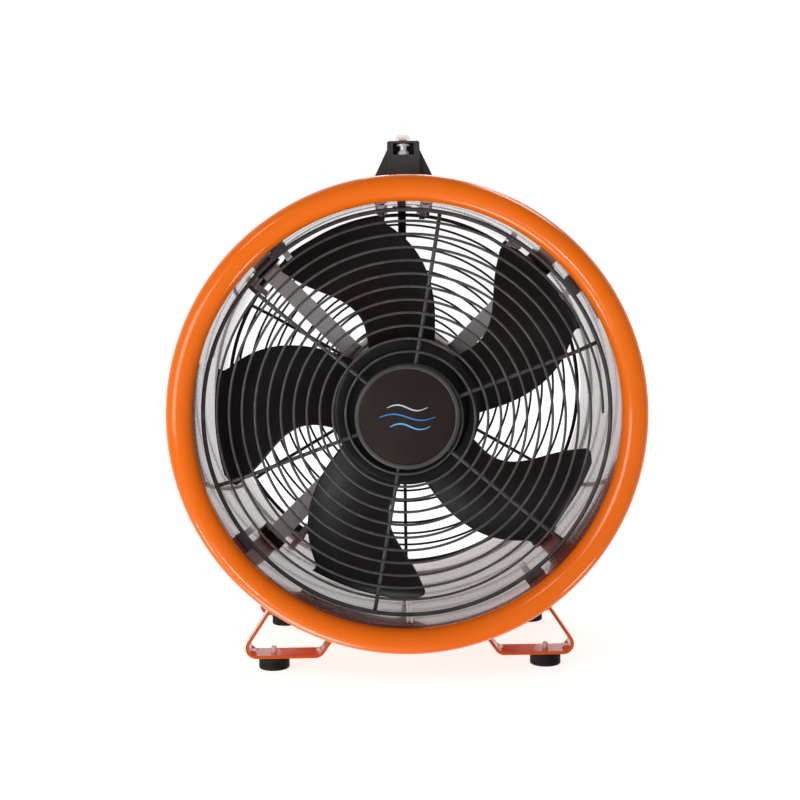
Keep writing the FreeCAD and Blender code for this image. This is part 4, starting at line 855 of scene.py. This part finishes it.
def rubber_foot(node):
    """Rubber bumper: softened rim, slightly waisted wall and a moulded ring underneath."""
    low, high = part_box(node)
    centre = (low + high) / 2
    radius = (high.x - low.x) / 2
    height = high.z - low.z
    outline = [(0, 0.6 * MM), (radius * 0.45, 0.6 * MM), (radius * 0.5, 0)]
    outline += arc(radius - FOOT_ROUND, FOOT_ROUND, FOOT_ROUND, -90, 0, 6)
    outline += [(radius - 0.12 * MM, height * 0.45), (radius, height - 1.2 * MM)]
    outline += arc(radius - FOOT_SHOULDER, height - FOOT_SHOULDER, FOOT_SHOULDER, 22.5, 90, 3)
    outline += [(0, height)]

    def spot(ring_r, z, angle):
        return (centre.x + ring_r * math.cos(angle), centre.y + ring_r * math.sin(angle), low.z + z)

    foot = Shape()
    revolve(foot, outline, 64, spot, closed=False)
    place(foot.make(node + "_bumper", foot_rubber, 45), "housing", "black_rubber", node)


# ---- switch -------------------------------------------------------------
RED_HALF_WIDTH = 3.1 * MM
# Depth and height from the rocker's pin, in millimetres.
RED_SECTION = [(-5.8, 1.7), (0, 0.9), (5.8, 3.7), (5.6, 6.4), (0, 3.7), (-5.6, 4.4)]


def rocker_lens():
    """Raised red lens on the rocker's V-shaped top, under the cover."""
    pivot = Vector(joints["switch_rock"]["pos_m"])
    corners = len(RED_SECTION)
    points = [pivot + Vector((x, y * MM, z * MM))
              for x in (-RED_HALF_WIDTH, RED_HALF_WIDTH) for y, z in RED_SECTION]
    faces = [(k, (k + 1) % corners, corners + (k + 1) % corners, corners + k) for k in range(corners)]
    faces += [tuple(range(corners)), tuple(range(corners, 2 * corners))]
    lens = Shape()
    lens.add(points, faces)
    piece = lens.make("rocker_lens", rocker_red, 50)
    soften(piece, 0.45 * MM, 4, 40)
    place(piece, "rocker", "rocker_red")


# ---- carried-over CAD nodes --------------------------------------------
def dress(node, material, bevel=0.0, segments=2):
    """Give a CAD node its material and, where asked, softened edges."""
    piece = frame["nodes"][node]
    piece.data.materials.clear()
    piece.data.materials.append(material)
    if bevel:
        weld = piece.modifiers.new("weld", "WELD")
        weld.merge_threshold = 0.01 * MM
        soften(piece, bevel, segments, 35)


def dress_all():
    arms = ["motor_arm_" + side for side in ("upper_right", "upper_left", "lower_left", "lower_right")]
    straps = ["foot_strap_" + end + side for end in ("front_", "rear_") for side in ("left", "right")]
    # The motor arms take the lighter copy of the zinc plate, painted light.
    for node in arms:
        dress(node, arms_lit_zinc, 0.35 * MM)
    # The foot straps take the darker enamel that is painted shade.
    for node in straps:
        dress(node, strap_shade_paint, 0.45 * MM, 3)
    for node in ("guard_clips", "casing_screws", "drum_bolts", "handle_bolts"):
        dress(node, dark_steel, 0.25 * MM)
    for node in ("clip_tabs", "cap_screws", "hexagon_nuts", "underplate_screws", "foot_studs",
                 "motor_shaft", "shaft_nut"):
        dress(node, zinc, 0.2 * MM)
    for node in ("bearing_inner_rings", "bearing_outer_rings", "bearing_balls"):
        dress(node, bright_steel)
    for node in ("bearing_cages", "hub_insert"):
        dress(node, brass)
    for node in ("rotor_core", "stator_core"):
        dress(node, core_steel)
    dress("stator_windings", copper)
    dress("motor_casing", motor_paint, 0.4 * MM)
    for node in ("motor_front_shield", "motor_rear_shield"):
        dress(node, alloy, 0.5 * MM)
    dress("window_bolt", bolt_plate, 0.2 * MM)
    dress("arm_mount_pads", pad_rubber, 0.8 * MM, 3)
    dress("run_capacitor", capacitor_plastic, 0.6 * MM)
    dress("motor_lead", lead_rubber)
    dress("lead_grommets", foot_rubber, 0.3 * MM)
    dress("handle_body", handle_plastic, 0.8 * MM, 3)
    dress("grip_underplate", handle_plastic, 0.3 * MM)
    dress("cap_backplates", cap_plastic, 0.4 * MM)
    for node in ("cable_gland", "gland_nut"):
        dress(node, gland_plastic, 0.3 * MM)
    dress("switch_body", switch_plastic, 0.3 * MM)
    dress("switch_rocker", rocker_red, 0.5 * MM, 3)
    dress("switch_cover", clear_cover)


# ---- stage --------------------------------------------------------------
FLOOR_REACH = 9.0
LAMP_CORE = 0.6         # the share of a lamp's radius that has its full strength
BEHIND = (0, 1, 0)
SOFT_FROM = (-0.75, -0.3, -0.55)
LAMPS = [
    # highlight's angle round the axis, lean of the face that shows it, size of the lamp, strength
    (242, 41, 17, 6),
    (224, 19, 6, 12),
    (211, 38, 6, 10),
    (316, 36, 6, 12),
    (62, 56, 14, 6),
    (128, 30, 7, 4),
    (235, 32, 42, 0.5),
]


def floor():
    """Plain pale floor."""
    ground = Shape()
    corners = [(-FLOOR_REACH, -FLOOR_REACH, 0), (FLOOR_REACH, -FLOOR_REACH, 0)]
    corners += [(FLOOR_REACH, FLOOR_REACH, 0), (-FLOOR_REACH, FLOOR_REACH, 0)]
    ground.add(corners, [(0, 1, 2, 3)])
    made = Surface("pale_floor", (0.74, 0.74, 0.74), 0.9)
    made.set(Emission_Color=(1, 1, 1, 1), Emission_Strength=0.74, Specular_IOR_Level=0.2)
    made.tint(made.noise(2.0, 2.0), (0.725, 0.725, 0.73))
    piece = ground.make("floor", made.material)
    piece.visible_glossy = False


def softbox(name, place_at, width, height, watts):
    """Rectangular lamp that faces the fan and is out of the camera's sight."""
    lamp = bpy.data.lights.new(name, "AREA")
    lamp.shape = "RECTANGLE"
    lamp.size = width
    lamp.size_y = height
    lamp.energy = watts
    piece = bpy.data.objects.new(name, lamp)
    bpy.context.scene.collection.objects.link(piece)
    piece.visible_camera = False
    piece.location = place_at
    piece.rotation_euler = (AXIS - Vector(place_at)).to_track_quat("-Z", "Y").to_euler()


def mirrored_from(around, tilt):
    """Direction of the light whose highlight falls on a face that leans from the front by tilt.

    The face leans towards an angle round the axis. Both are in degrees."""
    around, tilt = math.radians(around), math.radians(tilt)
    lean = math.sin(tilt)
    facing = Vector((lean * math.cos(around), -math.cos(tilt), lean * math.sin(around)))
    to_camera = (EYE - AXIS).normalized()
    return facing * (2 * facing.dot(to_camera)) - to_camera


def world():
    """White to the camera, graded soft light, and reflections of a dark front, a bright back and lamps."""
    sky = bpy.data.worlds.new("studio")
    sky.use_nodes = True
    sky.cycles.sampling_method = "NONE"
    bpy.context.scene.world = sky
    tree = sky.node_tree
    tree.nodes.clear()
    direction = tree.nodes.new("ShaderNodeTexCoord").outputs["Generated"]

    def background():
        node = tree.nodes.new("ShaderNodeBackground")
        node.inputs["Color"].default_value = (1, 1, 1, 1)
        node.inputs["Strength"].default_value = 1.0
        return node

    def choice(factor, first, second):
        node = tree.nodes.new("ShaderNodeMixShader")
        tree.links.new(factor, node.inputs[0])
        tree.links.new(first, node.inputs[1])
        tree.links.new(second, node.inputs[2])
        return node.outputs[0]

    def ranged(value, from_low, from_high, low, high):
        node = tree.nodes.new("ShaderNodeMapRange")
        limits = {"From Min": from_low, "From Max": from_high, "To Min": low, "To Max": high}
        for name, number in limits.items():
            node.inputs[name].default_value = number
        tree.links.new(value, node.inputs["Value"])
        return node.outputs["Result"]

    def towards(way):
        node = tree.nodes.new("ShaderNodeVectorMath")
        node.operation = "DOT_PRODUCT"
        node.inputs[1].default_value = way
        tree.links.new(direction, node.inputs[0])
        return node.outputs["Value"]

    def lamp(around, tilt, size, strength):
        edge, core = math.cos(math.radians(size)), math.cos(math.radians(size * LAMP_CORE))
        return ranged(towards(mirrored_from(around, tilt)), edge, core, 0.0, strength)

    total = ranged(towards(BEHIND), 0.05, 0.75, low=0.05, high=1.0)
    for row in LAMPS:
        node = tree.nodes.new("ShaderNodeMath")
        node.operation = "ADD"
        tree.links.new(total, node.inputs[0])
        tree.links.new(lamp(*row), node.inputs[1])
        total = node.outputs["Value"]

    seen = background()
    soft = background()
    mirrored = background()
    tree.links.new(total, mirrored.inputs["Strength"])
    graded = ranged(towards(SOFT_FROM), -0.9, 0.9, low=0.30, high=0.84)
    tree.links.new(graded, soft.inputs["Strength"])
    path = tree.nodes.new("ShaderNodeLightPath")
    unseen = choice(path.outputs["Is Glossy Ray"], soft.outputs[0], mirrored.outputs[0])
    out = tree.nodes.new("ShaderNodeOutputWorld")
    tree.links.new(choice(path.outputs["Is Camera Ray"], unseen, seen.outputs[0]), out.inputs["Surface"])


def lights():
    softbox("front_left", (-0.75, -0.9, 0.3), width=0.5, height=0.5, watts=3.2)
    softbox("back_top", (0.3, 1.6, 1.8), width=1.2, height=0.5, watts=8)


# ---- build --------------------------------------------------------------
bpy.context.scene.view_settings.view_transform = "Standard"

drum()
drum_seam()

Guard("front", -1, 180.0, -1, 20.0).build()
Guard("rear", 1, -10.0, 1, 30.0).build()

cap("front_cap", -1)
cap("rear_cap", 1)
badge_disc()
for line in AIRFLOW_LINES:
    airflow_line(*line)

fan()
for foot_end in ("front", "rear"):
    for foot_side in ("left", "right"):
        rubber_foot("rubber_foot_" + foot_end + "_" + foot_side)
rocker_lens()
dress_all()

floor()
world()
lights()
